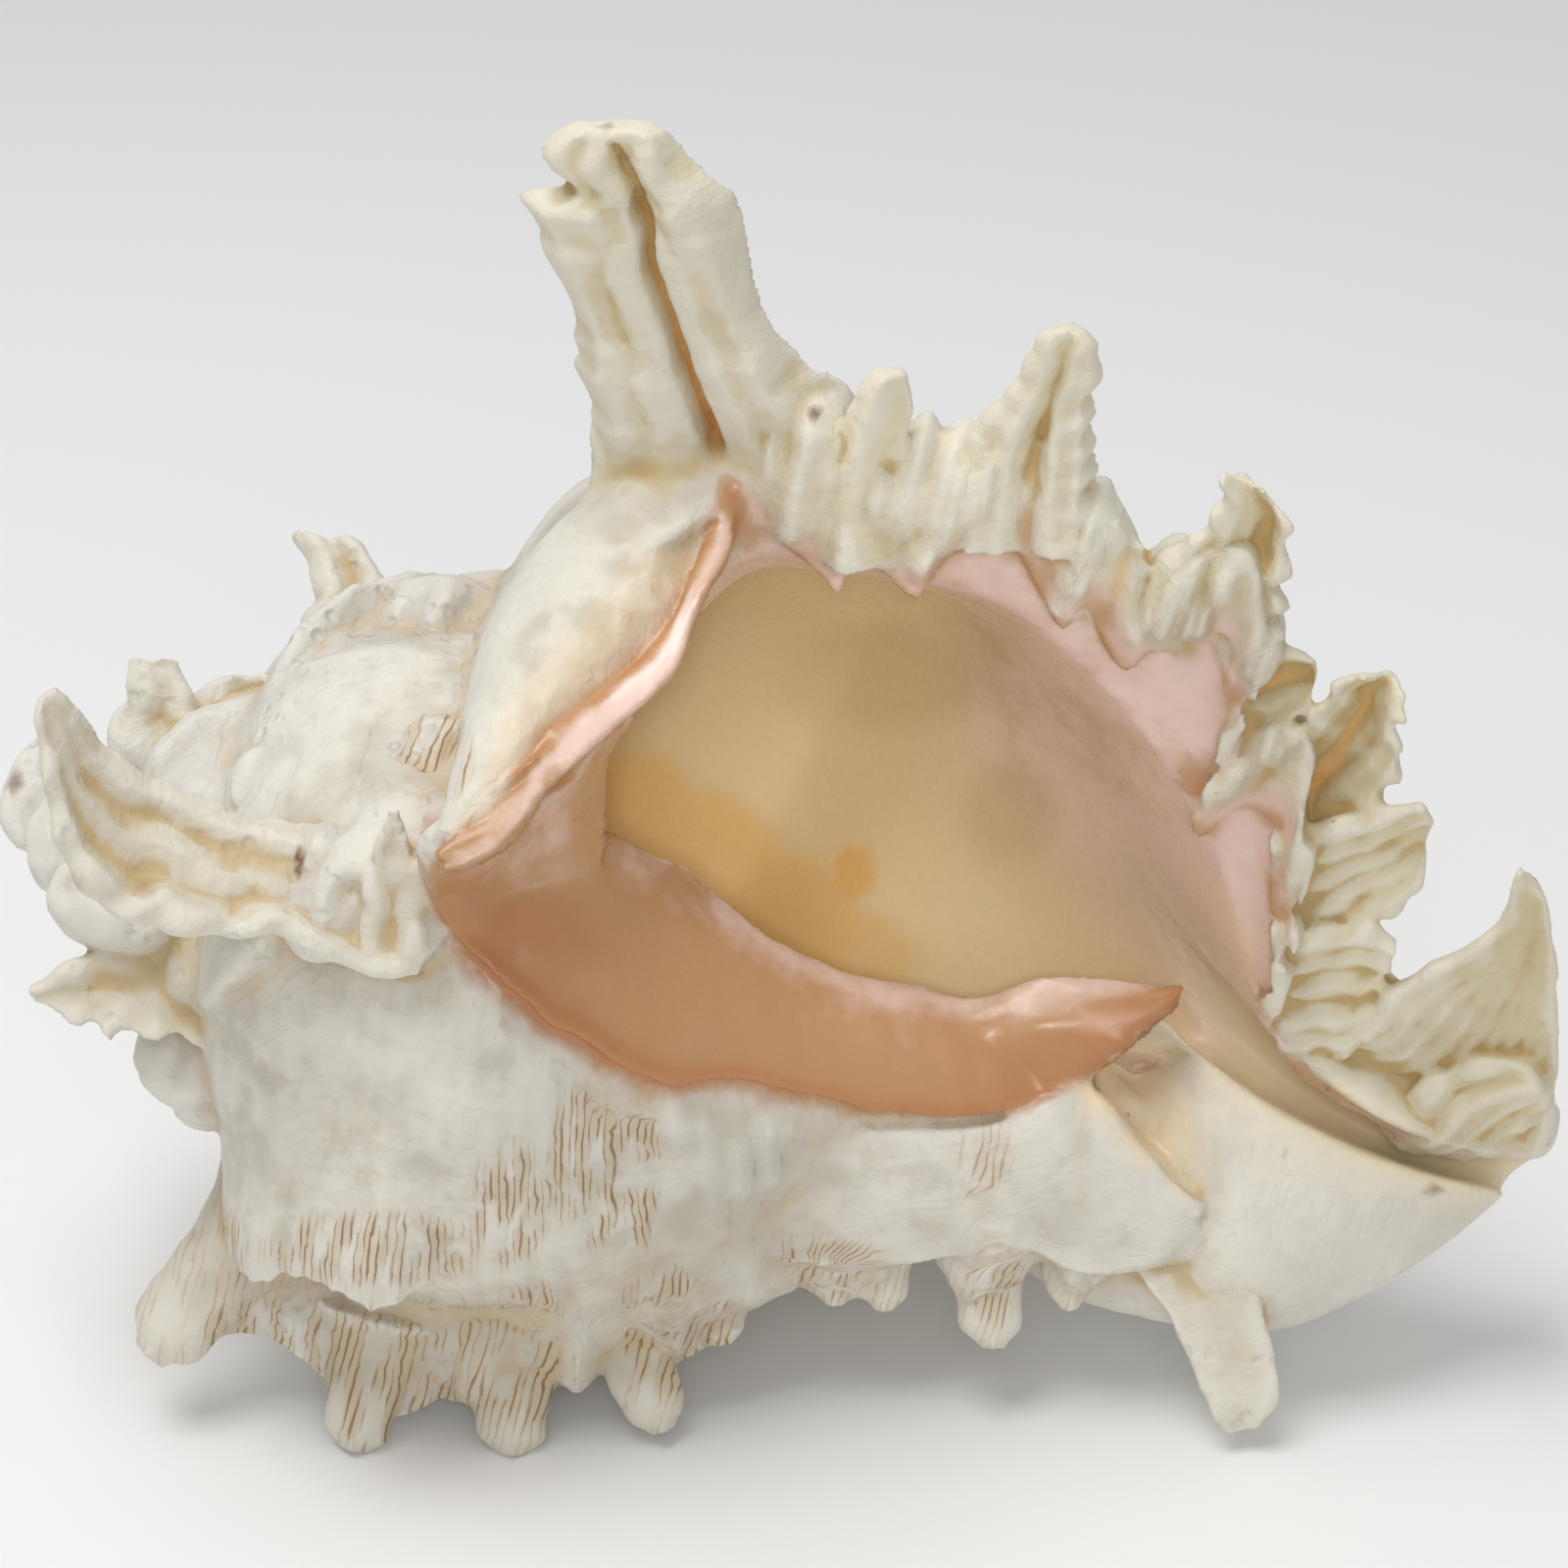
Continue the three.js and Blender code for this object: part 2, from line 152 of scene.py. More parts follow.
# The present canal and the stub of the old one: distance along, then the height and the depth towards the
# front of the section's upper end and of its lower end, and its half thickness
CANAL = [
    (126, 8, -8, -22, -8, 8), (138, 13, -6, -26, -6, 10), (148, 17, -3, -26, -2, 11),
    (156, 19.5, 0, -25, 0, 11.5), (165, 18.5, 0, -22.5, 0, 11), (174, 15.5, 0, -15.5, 0, 9),
    (182, 14.5, 0, -6.5, 0, 7), (188, 14, 0, 2, 0, 5), (191, 12, 0, 6, 0, 2.5),
]
OLD_CANAL = [
    (100, -4, 8, -23, 0, 6), (118, -3, 8, -24, 1, 5), (134, -1, 8, -22, 3, 4), (145, -6, 8, -20.5, 4, 3.4),
    (151, -10, 8, -18, 5, 2.8),
]
# The slit of the present canal: distance along, height of its middle and half width
SLIT = [
    (131, 24, 6), (139, 17.5, 5.5), (146, 12.5, 4.6), (153, 8.8, 4), (160, 5.8, 2.9), (169, 3.3, 2.1),
    (178, 2.7, 2), (186, 3.2, 2), (195, 4, 2),
]
SLIT_FLOOR = 2
SLIT_TOP = -40
SLIT_ROUND = 0.98
# How much of the inside's painted tan shade the slit's lower half takes
SLIT_TAN = 0.55
HORN_ROWS = 60
HORN_COLUMNS = 30

# The callus on the inner lip: distance along, angle of its free edge
CALLUS = [
    (53.5, 80), (55.5, 87), (59, 91), (63, 94), (72, 100), (80, 107), (87, 109), (93, 108), (101, 112),
    (110, 118), (120, 117), (127, 107), (132, 87), (137, 61), (141, 44),
]
# Towards the canal the callus stands free: how far out it is at two angles, and from where to where it
# comes free
CALLUS_STAND = ((41, 18), (86, 9.5))
CALLUS_FREE = (112, 126)
CALLUS_TONE_AT = (54, 60, 68, 76, 96, 112, 124, 134, 141)
CALLUS_TONE = (0.8, 0.95, 0.8, 0.7, 0.6, 0.62, 0.8, 0.9, 0.85)
CALLUS_PROUD = 1.6
CALLUS_ROOT = 4
CALLUS_THINS = (130, 141)
CALLUS_THINNED = 0.75
CALLUS_RAGGED = 2
# How many degrees the callus reaches over the inner lip's ridge into the mouth
CALLUS_OVER = 8
CALLUS_ROWS = 90
CALLUS_COLUMNS = 40
# The bead along its free edge: place and width as shares of its width, height as a share of the callus's
BEAD_PLACE = 0.96
BEAD_WIDTH = 0.04
BEAD_HEIGHT = 0.4
CALLUS_RIM = (0.86, 0.97)

# What follows was traced in the photo, which is 1600 pixels square: points are its x and y. Each
# is set into the shell where the line of sight through it meets a half-plane at an angle round the axis,
# or a depth

# The scalloped edge of the outer lip: photo point and angle
LIP_EDGE = [
    (450, 870, 81), (490, 830, 76), (540, 790, 71), (585, 765, 66), (620, 740, 62), (660, 690, 55),
    (695, 625, 47), (735, 580, 41), (745, 515, 38), (783, 536, 35), (832, 577, 35), (858, 603, 35),
    (872, 562, 35), (905, 582, 35), (937, 608, 35), (960, 570, 35), (985, 552, 35), (1030, 535, 35),
    (1062, 590, 35), (1089, 637, 35), (1112, 612, 35), (1135, 655, 35), (1156, 680, 35), (1190, 652, 35),
    (1245, 645, 35), (1262, 700, 35), (1263, 760, 35),
    (1240, 800, 35), (1216, 830, 35), (1230, 853, 35), (1265, 822, 35), (1300, 826, 36), (1314, 852, 37),
    (1305, 890, 38), (1303, 925, 39), (1315, 942, 40), (1303, 985, 41), (1290, 1002, 41), (1302, 1022, 42),
    (1275, 1035, 42), (1298, 1062, 43), (1335, 1112, 44), (1400, 1150, 46), (1450, 1175, 48),
    (1500, 1188, 50), (1545, 1195, 52),
]
LIP_ROOT_TURN = -16
LIP_ROWS = 420
LIP_COLUMNS = 30
LIP_FRONT = 0.5
LIP_BACK = 1.9
LIP_BACK_TURN = 1.5
LIP_EVENED = 41
# How far across the lip the inside's painted tan shade fades, at both ends of its stretch
LIP_TAN = (0.2, 0.75)
# The collar runs where the edge of the lip lies to the right of one photo line and above another
COLLAR_LEFT = 765
COLLAR_BOTTOM = 1060

# Sheets by the suture, from the top down, each row with a point and a depth towards the back for its left
# edge and for its right edge: the swollen white roll of the lip, the ribbon of the lip's edge before it,
# and the wall of the corner between the lip and the inner lip
LIP_ROLL = [
    (602, 430, -36, 708, 430, -40), (600, 505, -32, 735, 520, -38), (566, 560, -32, 712, 585, -41),
    (521, 628, -35, 690, 640, -45), (496, 681, -38, 650, 680, -48), (484, 731, -42, 600, 720, -52),
    (482, 774, -46, 560, 745, -55), (470, 805, -50, 536, 785, -57), (455, 845, -54, 510, 830, -58.5),
    (446, 868, -57, 464, 853, -60),
]
ROLL_HEIGHT = 0.42
ROLL_ROWS = 120
ROLL_GRAIN = 0.7
ROLL_GRAIN_SIZE = 1.6
ROLL_COLUMNS = 32
# Where the roll's grain and its crease start, as shares of the way across and of the way down
GRAIN_ACROSS = (0.42, 0.8)
GRAIN_DOWN = (0.12, 0.4)
CREASE_ACROSS = (0.86, 1)
CREASE_DOWN = (0.1, 0.4)
ROLL_TURNS = 60
RIBBON_ROWS = 120
RIBBON_COLUMNS = 16
RIBBON_LENGTH = 60
RIBBON_THICK = 2.2
RIBBON_SWELL = 1.2
RIBBON_WAVE = 0.9
LIP_RIBBON = [
    (734, 520, -39, 750, 522, -40), (720, 548, -42, 745, 566, -43), (702, 590, -45, 728, 594, -46),
    (688, 628, -47, 709, 632, -48), (658, 667, -49, 690, 686, -50), (608, 710, -52, 638, 733, -53),
    (560, 744, -55, 588, 780, -56), (535, 785, -57, 557, 810, -58), (512, 828, -59, 528, 855, -60),
    (464, 853, -60.5, 488, 882, -61), (442, 868, -61, 448, 892, -61),
]
CORNER_WALL = [
    (632, 700, -49, 652, 738, -45), (580, 742, -54.5, 625, 775, -39), (536, 780, -56.5, 622, 815, -36),
    (498, 835, -56.5, 622, 855, -34), (458, 868, -58, 612, 895, -32), (440, 895, -55, 600, 930, -27),
    (445, 935, -44, 600, 965, -22),
]
CORNER_ROWS = 50
CORNER_COLUMNS = 24
CORNER_SAG = 1.2
CORNER_THICK = 4
# The end of the older canal, a flap below the inner lip: rows from left to right with a point and a depth
# for its upper edge and for its lower edge
OLD_FLAP = [
    (760, 1150, -18, 770, 1285, -8), (900, 1155, -14.5, 880, 1295, -6.5), (1000, 1150, -12, 970, 1285, -7),
    (1070, 1125, -12.5, 1040, 1275, -8), (1112, 1108, -11.5, 1090, 1297, -8),
    (1160, 1165, -11.5, 1135, 1302, -8), (1200, 1210, -11, 1180, 1292, -8),
    (1228, 1233, -10.5, 1205, 1272, -8.5),
]
FLAP_THICK = 3
FLAP_ROWS = 90
FLAP_COLUMNS = 40
FLAP_LENGTH = 50
FLAP_SWELL = 0.8
FLAP_BUMPS = 0.25
# The web between the spines of the fringe: rows from left to right with a point and a depth for its upper
# edge and for its lower edge
FRINGE_WEB = [
    (195, 1265, -3, 170, 1372, -1), (235, 1280, -5, 265, 1362, -2), (290, 1292, -6, 330, 1405, -2),
    (380, 1300, -7, 400, 1445, -2), (450, 1305, -7, 445, 1430, -2), (515, 1305, -7, 495, 1432, -2),
    (570, 1300, -8, 560, 1420, -2), (610, 1298, -9, 590, 1374, -2), (650, 1280, -9, 645, 1400, -2),
    (700, 1262, -9, 700, 1388, -2), (740, 1250, -9, 745, 1352, -2), (790, 1235, -9, 785, 1292, -2),
    (840, 1230, -9, 835, 1322, -2), (900, 1228, -9, 895, 1322, -2), (935, 1225, -9, 935, 1266, -2),
    (1000, 1228, -9, 985, 1330, -3), (1040, 1230, -9, 1040, 1310, -3), (1065, 1232, -9, 1065, 1280, -3),
    (1100, 1240, -9, 1100, 1322, -3), (1130, 1250, -9, 1135, 1295, -4),
]
WEB_THICK = 4
WEB_ROWS = 240
WEB_COLUMNS = 30
WEB_SWELL = 1.2
WEB_BUMPS = 0.6

# The fronds of the outer lip. Each has the angle of its half-plane, the depth of its trough, how far it is
# rolled into a pipe, how ruffled its left and right halves are, the length of a fold, how many ridges run
# along it, how far its folds are steps, how far its root lies back, how strongly its groove is coloured, and
# rows from root to tip with the photo points of its left edge, its right edge and its groove
LIP_FRONDS = [
    dict(angle=35, depth=6, rolled=1, ruffle=(0.65, 0.35), fold=10.4, ridges=3, stacked=0.75, sunk=3, rows=[
        (592, 540, 862, 520, 742, 525), (598, 470, 848, 418, 728, 460), (592, 425, 818, 390, 717, 425),
        (576, 388, 798, 362, 705, 393), (584, 372, 790, 352, 700, 375), (577, 340, 775, 325, 688, 340),
        (556, 280, 760, 275, 667, 285), (535, 240, 750, 232, 662, 240), (520, 213, 742, 212, 655, 215),
        (572, 197, 722, 193, 650, 197), (547, 165, 702, 172, 640, 175), (560, 140, 692, 150, 630, 158),
        (590, 122, 682, 131, 625, 140)]),
    dict(angle=35, depth=-2.5, ruffle=(0.2, 0.2), fold=5, tint=0, rows=[
        (835, 575, 915, 580, 860, 580), (848, 490, 915, 495, 868, 500), (862, 430, 928, 440, 882, 450),
        (876, 400, 931, 410, 892, 410), (888, 379, 925, 380, 905, 380)]),
    dict(angle=35, depth=5, rolled=0.9, ruffle=(0.3, 0.7), fold=4, ridges=4, rows=[
        (960, 560, 1120, 570, 1047, 530), (985, 450, 1118, 480, 1058, 465), (1020, 410, 1115, 420, 1071, 427),
        (1044, 374, 1122, 378, 1085, 385), (1062, 343, 1110, 348, 1094, 355)]),
    dict(angle=35, depth=3, ruffle=(0.5, 0.5), fold=4, ridges=3, rows=[
        (1070, 625, 1180, 660, 1140, 650), (1085, 588, 1172, 612, 1138, 605),
        (1108, 566, 1172, 585, 1140, 585), (1128, 553, 1165, 560, 1146, 556)]),
    dict(angle=35, depth=5, rolled=0.3, ruffle=(0.5, 1.1), fold=5, ridges=5, rows=[
        (1165, 665, 1292, 675, 1248, 650), (1180, 580, 1308, 640, 1256, 620),
        (1222, 548, 1310, 600, 1272, 585), (1244, 512, 1318, 545, 1284, 555),
        (1242, 484, 1288, 495, 1266, 490)]),
    dict(angle=35, depth=2.5, ruffle=(0.6, 0.6), fold=4, ridges=4, rows=[
        (1245, 645, 1262, 790, 1255, 712), (1292, 660, 1300, 760, 1290, 705),
        (1330, 668, 1335, 722, 1325, 695), (1346, 676, 1347, 698, 1347, 688)]),
    dict(angle=36, depth=4, ruffle=(0.8, 1), fold=4.5, ridges=6, rows=[
        (1245, 800, 1325, 895, 1295, 845), (1298, 765, 1385, 845, 1345, 812),
        (1340, 728, 1430, 795, 1372, 765), (1370, 694, 1428, 748, 1392, 725),
        (1398, 692, 1449, 716, 1420, 704)]),
    dict(angle=38, depth=1.5, ruffle=(0.6, 0.6), fold=5, ridges=5, tint=0.3, rows=[
        (1295, 860, 1308, 982, 1302, 922), (1350, 845, 1378, 958, 1364, 900),
        (1405, 833, 1427, 936, 1412, 880), (1445, 824, 1450, 908, 1448, 866),
        (1464, 840, 1456, 878, 1460, 858)]),
    dict(angle=41, depth=1.5, ruffle=(0.6, 0.6), fold=5, ridges=5, tint=0.3, rows=[
        (1295, 950, 1302, 1080, 1300, 1020), (1350, 953, 1345, 1078, 1348, 1014),
        (1392, 948, 1378, 1078, 1386, 1012), (1424, 966, 1400, 1060, 1412, 1010)]),
    dict(angle=42, depth=1, ruffle=(0.2, 0.2), fold=9, ridges=10, tint=0, sunk=3, rows=[
        (1312, 1072, 1550, 1200, 1440, 1160), (1372, 1050, 1574, 1182, 1480, 1125),
        (1420, 1015, 1586, 1142, 1515, 1085), (1470, 985, 1590, 1090, 1540, 1040),
        (1515, 960, 1590, 1040, 1558, 1000), (1538, 925, 1588, 985, 1564, 955),
        (1547, 890, 1580, 925, 1564, 905)]),
    dict(angle=46, depth=-2, ruffle=(0.4, 0.4), fold=6, ridges=4, tint=0, sunk=2, rows=[
        (1400, 1165, 1470, 1195, 1430, 1180), (1435, 1120, 1510, 1185, 1470, 1150),
        (1480, 1095, 1545, 1165, 1515, 1125), (1525, 1085, 1572, 1140, 1550, 1110),
        (1560, 1090, 1585, 1120, 1574, 1104)]),
]

# Rounded pleats of the flange between the fronds: photo point, half width and half length in millimetres,
# height
PLEATS = [
    (815, 490, 6, 10, 6), (925, 510, 2.6, 8.5, 4.5), (968, 515, 3.4, 8, 5), (1000, 500, 2.4, 7, 4),
    (1108, 560, 2.6, 6.5, 4.5), (1192, 615, 3.6, 6, 4.5), (1222, 625, 2.4, 5, 4), (1285, 675, 2.6, 4.6, 4),
    (1300, 765, 2.6, 4.4, 4),
]
COLLAR = 11
COLLAR_COLUMNS = 24
COLLAR_THICK = 5
COLLAR_SWELL = 1.6
COLLAR_SUNK = 0.4
COLLAR_FOLD = 1.8
COLLAR_FOLD_SIZE = 1.9
COLLAR_ROUND = 0.85
COLLAR_FOLDS_FROM = (0, 0.35)
COLLAR_GLAZE = (0.08, 0.5)
# How folds stretch away from the axis, per direction
STRETCHED = (1, 0.3, 0.3)

# Knobs of the spire: photo point, depth, half width and half length in millimetres, height
KNOBS = [
    (450, 645, -9, 9, 9, 6), (335, 900, -43, 6, 8, 4), (440, 780, -33, 4.5, 7, 2.5),
    (430, 930, -42, 3.5, 6, 3),
    (300, 800, -27, 8, 6, 2), (245, 730, -8, 7, 6, 2.5), (44, 800, -10, 5, 8, 3), (110, 915, -22, 8, 5.5, 3),
    (90, 850, -16, 8, 8, 3), (195, 1060, -14, 7, 8, 3), (210, 1105, -12, 5, 5, 2.5),
    (165, 745, -10, 7, 6, 2.5),
]

# Blades of the spire and the older canal's tusk, which face the front: the way that the groove faces, then
# what a frond has too, and rows from root to tip with a photo point and a depth towards the back for the
# left edge and for the right edge
SPIRE_BLADES = [
    dict(facing=(0.25, -0.9, 0.35), depth=0.6, ruffle=(0.45, 0.1), ridges=3, tint=0, rows=[
        (430, 998, -44, 446, 864, -39), (350, 984, -46, 395, 850, -39), (290, 955, -47.5, 320, 838, -40),
        (232, 955, -48.5, 252, 828, -41), (185, 950, -50, 200, 805, -42.5), (110, 928, -51, 150, 785, -45),
        (66, 870, -52, 105, 750, -48), (42, 780, -53.5, 78, 716, -51), (36, 708, -54, 56, 700, -53)]),
    dict(facing=(0, -1, 0.1), depth=2.5, rolled=0.4, ruffle=(0.2, 0.2), tint=0.7, rows=[
        (366, 975, -45, 434, 975, -45), (374, 900, -47, 426, 905, -47), (384, 860, -49, 417, 862, -49),
        (393, 826, -51, 406, 824, -51)]),
    dict(facing=(0, -0.84, 0.54), depth=3, rolled=0.8, ruffle=(0.3, 0.3), tint=0.7, rows=[
        (255, 735, 12, 425, 705, 9), (298, 653, 18, 408, 650, 16), (318, 610, 21, 400, 605, 20),
        (318, 578, 23, 388, 574, 22), (300, 542, 25, 366, 548, 24)]),
    dict(facing=(0.1, -0.9, 0.3), depth=2, rolled=0.9, ruffle=(0.3, 0.3), tint=0.8, rows=[
        (108, 775, -10, 214, 750, -9), (132, 702, -12, 198, 706, -11), (129, 668, -13, 184, 670, -12)]),
    dict(facing=(0.1, -0.9, 0.3), depth=1, ruffle=(0.3, 0.3), tint=0, rows=[
        (205, 775, -8, 296, 750, -6), (220, 704, -9, 286, 710, -8), (236, 685, -10, 272, 685, -9)]),
    dict(facing=(0.2, -0.8, -0.5), depth=1, ruffle=(0.5, 0.5), tint=0, rows=[
        (200, 940, -18, 225, 1075, -18), (140, 958, -20, 175, 1062, -20), (98, 972, -21, 120, 1056, -21),
        (62, 992, -22, 85, 1048, -22), (38, 1008, -22, 52, 1036, -22), (28, 1014, -22, 34, 1028, -22)]),
    dict(facing=(0, -1, 0), depth=0.5, ruffle=(0.1, 0.1), tint=0, rows=[
        (1120, 1260, -7, 1225, 1222, -8), (1160, 1300, -7, 1250, 1265, -8), (1195, 1350, -7, 1282, 1325, -8),
        (1220, 1400, -6, 1302, 1390, -7), (1236, 1445, -6, 1304, 1432, -6),
        (1252, 1466, -5, 1284, 1460, -5)]),
]

KNOB_FACING = (-0.1, -0.9, 0.35)
# Bumps on knobs: size and height
KNOB_BUMPS = [(4, 0.8), (1.8, 0.35)]

# Patches with brown threads, stains, amber places and painted shade of the inside, places where pieces flow
# into one another, glazed places between pieces, and painted shade in the hollow by the canal:
# photo point, half width and half height in pixels, strength
THREAD_PATCHES = [
    (600, 1190, 50, 100, 1), (655, 1185, 22, 110, 1), (520, 1230, 50, 85, 0.7), (380, 1275, 140, 48, 0.75),
    (230, 1280, 30, 60, 0.6), (430, 1390, 210, 80, 0.7), (690, 1360, 80, 80, 0.9), (840, 1295, 90, 45, 0.65),
    (1005, 1190, 40, 70, 0.5), (1020, 1310, 40, 60, 0.7), (445, 770, 45, 60, 1), (270, 1370, 110, 60, 0.7),
    (540, 1380, 50, 90, 1), (380, 1440, 40, 60, 0.9),
]
STAINS = [
    (305, 880, 6, 20, 1), (832, 420, 8, 9, 0.9), (1465, 1212, 5, 6, 1), (16, 800, 10, 12, 0.7),
    (118, 1022, 6, 6, 0.6), (620, 130, 5, 5, 0.5), (150, 905, 12, 10, 0.3), (75, 900, 14, 10, 0.3),
    (690, 1345, 22, 30, 0.25), (265, 1090, 8, 14, 0.25),
]
AMBER_PATCHES = [
    (650, 850, 70, 90, 0.75), (715, 895, 90, 95, 0.75), (790, 945, 95, 80, 0.75), (850, 975, 90, 55, 0.6),
    (872, 890, 22, 28, 1),
]
# Painted shade in the mouth and in the hollow by the canal; at the left end of the callus it darkens the
# callus's real darker orange
PAINTED_SHADE_PATCHES = [
    (900, 690, 130, 70, 0.5), (1030, 830, 60, 70, 0.5), (1000, 640, 70, 40, 0.4), (464, 930, 60, 40, 0.4),
    (1165, 1130, 50, 60, 0.9),
]
SOFT_PATCHES = [
    (640, 930, 70, 60, 1), (720, 985, 90, 45, 1), (840, 1005, 110, 35, 1), (960, 1005, 110, 35, 1),
    (1070, 1005, 90, 40, 1), (1150, 1030, 70, 45, 1), (560, 850, 80, 70, 1), (490, 890, 60, 40, 0.7),
    (1110, 1085, 60, 50, 0.8), (690, 490, 110, 48, 1), (600, 500, 50, 60, 1),
    (830, 520, 70, 60, 0.7), (930, 530, 80, 60, 0.7), (1010, 540, 60, 60, 0.5),
]
GLAZE_PATCHES = [(705, 900, 55, 35, 1), (572, 798, 28, 25, 1), (600, 850, 30, 60, 0.8)]
# Painted shade in the hollow by the canal, in the inside's tan
CANAL_HOLLOW_SHADE_PATCHES = [(1145, 1100, 60, 50, 0.9), (1180, 1140, 50, 60, 0.65), (1210, 1190, 30, 40, 0.35)]

# Spines of the older varices: distances along and out of the root and the tip, width of the root and of the
# tip
FRINGE_SPINES = [
    (43, 42, 32, 61, 13, 10), (59, 53, 59, 66, 11, 7.5), (75, 49, 78, 61.5, 11, 8),
    (87, 41, 95, 54, 11, 7), (96, 34, 99, 42, 10, 6), (109, 24, 111, 34, 9, 5.5),
    (115, 21, 117, 33, 9, 5.5), (127, 18, 131, 34, 11, 7), (136, 15, 139, 27, 9, 5),
]
SPIRE_SPINES = {
    5: [(22, 22, 19, 38, 9, 6), (36, 27, 37, 33, 8, 6)],
    6: [(30, 22, 31, 28, 7, 4)],
    8: [(13, 9, 9, 20, 5, 3)],
}
BACK_SPINE_SCALE = 1.2
BACK_SPINE_SHORTEST = 8
BACK_SPINE_STRETCH = (90, 150)
SPINE_ROOT = 4
SPINE_WEB = 0.45
LEAF_THICK = 1.7
LEAF_COLUMNS = 91
RIDGE_HEIGHT = 0.34
RIDGE_TALLEST = 1.5
# The share of the folds' height that a leaf has at its root, and the share of its length that is its root
ROOT_RELIEF = 0.35
ROOT_LENGTH = 0.3
# Folds of a leaf: how they lean towards the edge, how far they drift and over how many folds, their height
# and spread at the edge, the height of the fine ones, and the longest fold that makes them higher
FOLD_LEAN = 0.45
FOLD_DRIFT = 2.2
DRIFT_SIZE = 2.2
FOLD_HEIGHT = 0.2
FINE_HEIGHT = 0.07
LONGEST_FOLD = 7
# What sets the folds of a leaf's right half apart from those of its left half
HALF_APART = 40.0
FROND_ROWS = 110
BLADE_ROWS = 80
SPINE_ROWS = 40
DOME_ROWS = 20
DOME_COLUMNS = 49
FURROWS = 0.14
# Ridges of a leaf: how far they wander, the size of the wandering, and how sharp their crests are
RIDGE_WANDER = 0.45
WANDER_SIZE = 8
RIDGE_SHARP = 0.75
# The ragged tip of a leaf: the share of its length where it starts, its size, and its most in millimetres
# and as a share of the length
TIP_FROM = 0.75
RAGGED_SIZE = 3.5
RAGGED_MOST = 2.0
RAGGED_SHARE = 0.06
# How wide the coloured line in a groove is, for an open leaf and for a pipe
GROOVE_LINE = (0.16, 0.07)
TURN_PER_MM = 1.15
# Spines: how bowed they are, how deep their trough is for their width, and how their tips end
SPINE_BOW = 0.04
SPINE_TROUGH = 0.12
SPINE_TIP = (0.86, 1.02)
SPINE_BLUNT = 0.25
THREAD_PITCH = 0.0072
# Half sections of an open leaf and of one rolled into a pipe, from the groove to the edge
TROUGH = [(0, -1), (0.2, -0.85), (0.55, -0.3), (0.85, 0), (1, -0.12)]
PIPE = [(0, -0.36), (0.04, -0.2), (0.1, 0.08), (0.35, 0.24), (0.7, 0.16), (1, -0.25)]

# How it lies
DOWN_ANGLE = 210
CANAL_DIP = 13
VIEW_TURN = -7.4
FLOOR_DROP = 67.6
SHIFT = (-96.202, -8.771)
MM = 0.001

# The camera, in the shell's own millimetres, and its focal length in the photo's pixels
CAMERA_SPOT = np.array([88.69, -450, 26])
CAMERA_TILT = 15
PHOTO_SIZE = 1600
PHOTO_FOCAL = 3750
SENSOR = 36
# A narrow lamp at the camera lights the mouth, whose thin shell lets light through in the photo: the photo
# point and depth that it points at, its power and its angle
MOUTH = (860, 830, -20)
SNOOT_POWER = 2.7
SNOOT_ANGLE = 12
SNOOT_SIZE = 0.04
# Soft lamps, in metres in the part's frame: name, place, size and power. They point at the shell's middle
SOFTBOXES = [
    ("softbox_above", (-0.25, -0.1, 0.95), 0.6, 5.0),
    ("softbox_front", (0.05, -0.85, 0.55), 0.5, 1.4),
]
SHELL_MIDDLE = (0, 0, 0.07)
ROOM_LIGHT = 0.45
FLOOR_SIZE = 8
FLOOR_WHITE = 0.9

BODY_VOXEL = 0.8
VOXEL = 0.5
TRIANGLES = 190000
# How near a mark has to be to a place, and how well the ways that they face have to agree; then how near it
# has to be in a second try at rims, and how far the ways may disagree there
MARK_REACH = 2.2
MARK_TURN = 0.1
RIM_REACH = 1.1
RIM_TURN = 0.6
NEAREST_MARKS = 8
DIP_DEPTH = 0.6
# How often values are averaged with their neighbours: marks, the painted tan shade of the inside, the shape
# of glazed places, and the shape that dips are measured from
MARK_ROUNDS = 2
DEEP_ROUNDS = 14
SOFT_ROUNDS = 25
DIP_ROUNDS = 40
SMOOTH_FACTOR = 0.5
SMOOTH_ROUNDS = 2
# Where a patch starts to fade and where it ends, as shares of its size
PATCH_EVEN = 0.5
AMBER_EVEN = 0.8
PATCH_ENDS = 1.1
GLAZE_WARMTH = 0.4
# A change of turn between neighbours over which lines of growth fade out
STEADY_TURNS = (1.0, 4.0)
# How rough the outside is: sizes and shares of its lumps, and their height on the body, on chalky places and
# on fronds
GRAIN = [(3.6, 0.6), (1.8, 0.45)]
BODY_GRAIN = 0.2
CHALK_GRAIN = 0.5
FROND_GRAIN = 0.14
THREADS = 139

# Steps between two points of a curve, and where points of a grid count as one
CURVE_STEPS = 16
MERGED = 0.0005
# What makes the random values of lumps
LUMP_KEYS = (73856093, 19349663, 83492791)
KEY_FACTOR = 1274126177
KEY_MASK = 0x7FFFFFFF
KEY_RANGE = 10007
SEED_STEP = 17.31
FROND_SEED = 10
FRINGE_SEED = 50
BACK_SEED = 70
SPIRE_SEED = 90
SPIRE_SEED_STEP = 10
BLADE_SEED = 200
LEAF_SEEDS = 5

# Scales of the material's noises, its roughness and its bump
CLOUDS = 28.0
PATCHES = 95.0
MOTTLE = 260.0
FINE_GRAIN = 900.0
PITS = 420.0
PIT_PLACES = 70.0
PIT_STAINS = 38.0
ROUGHNESS = (0.45, 0.8)
GLAZE_ROUGHNESS = 0.48
BUMP_STRENGTH = 0.7
BUMP_HEIGHT = 0.0007
GLAZE_BUMP = 0.04

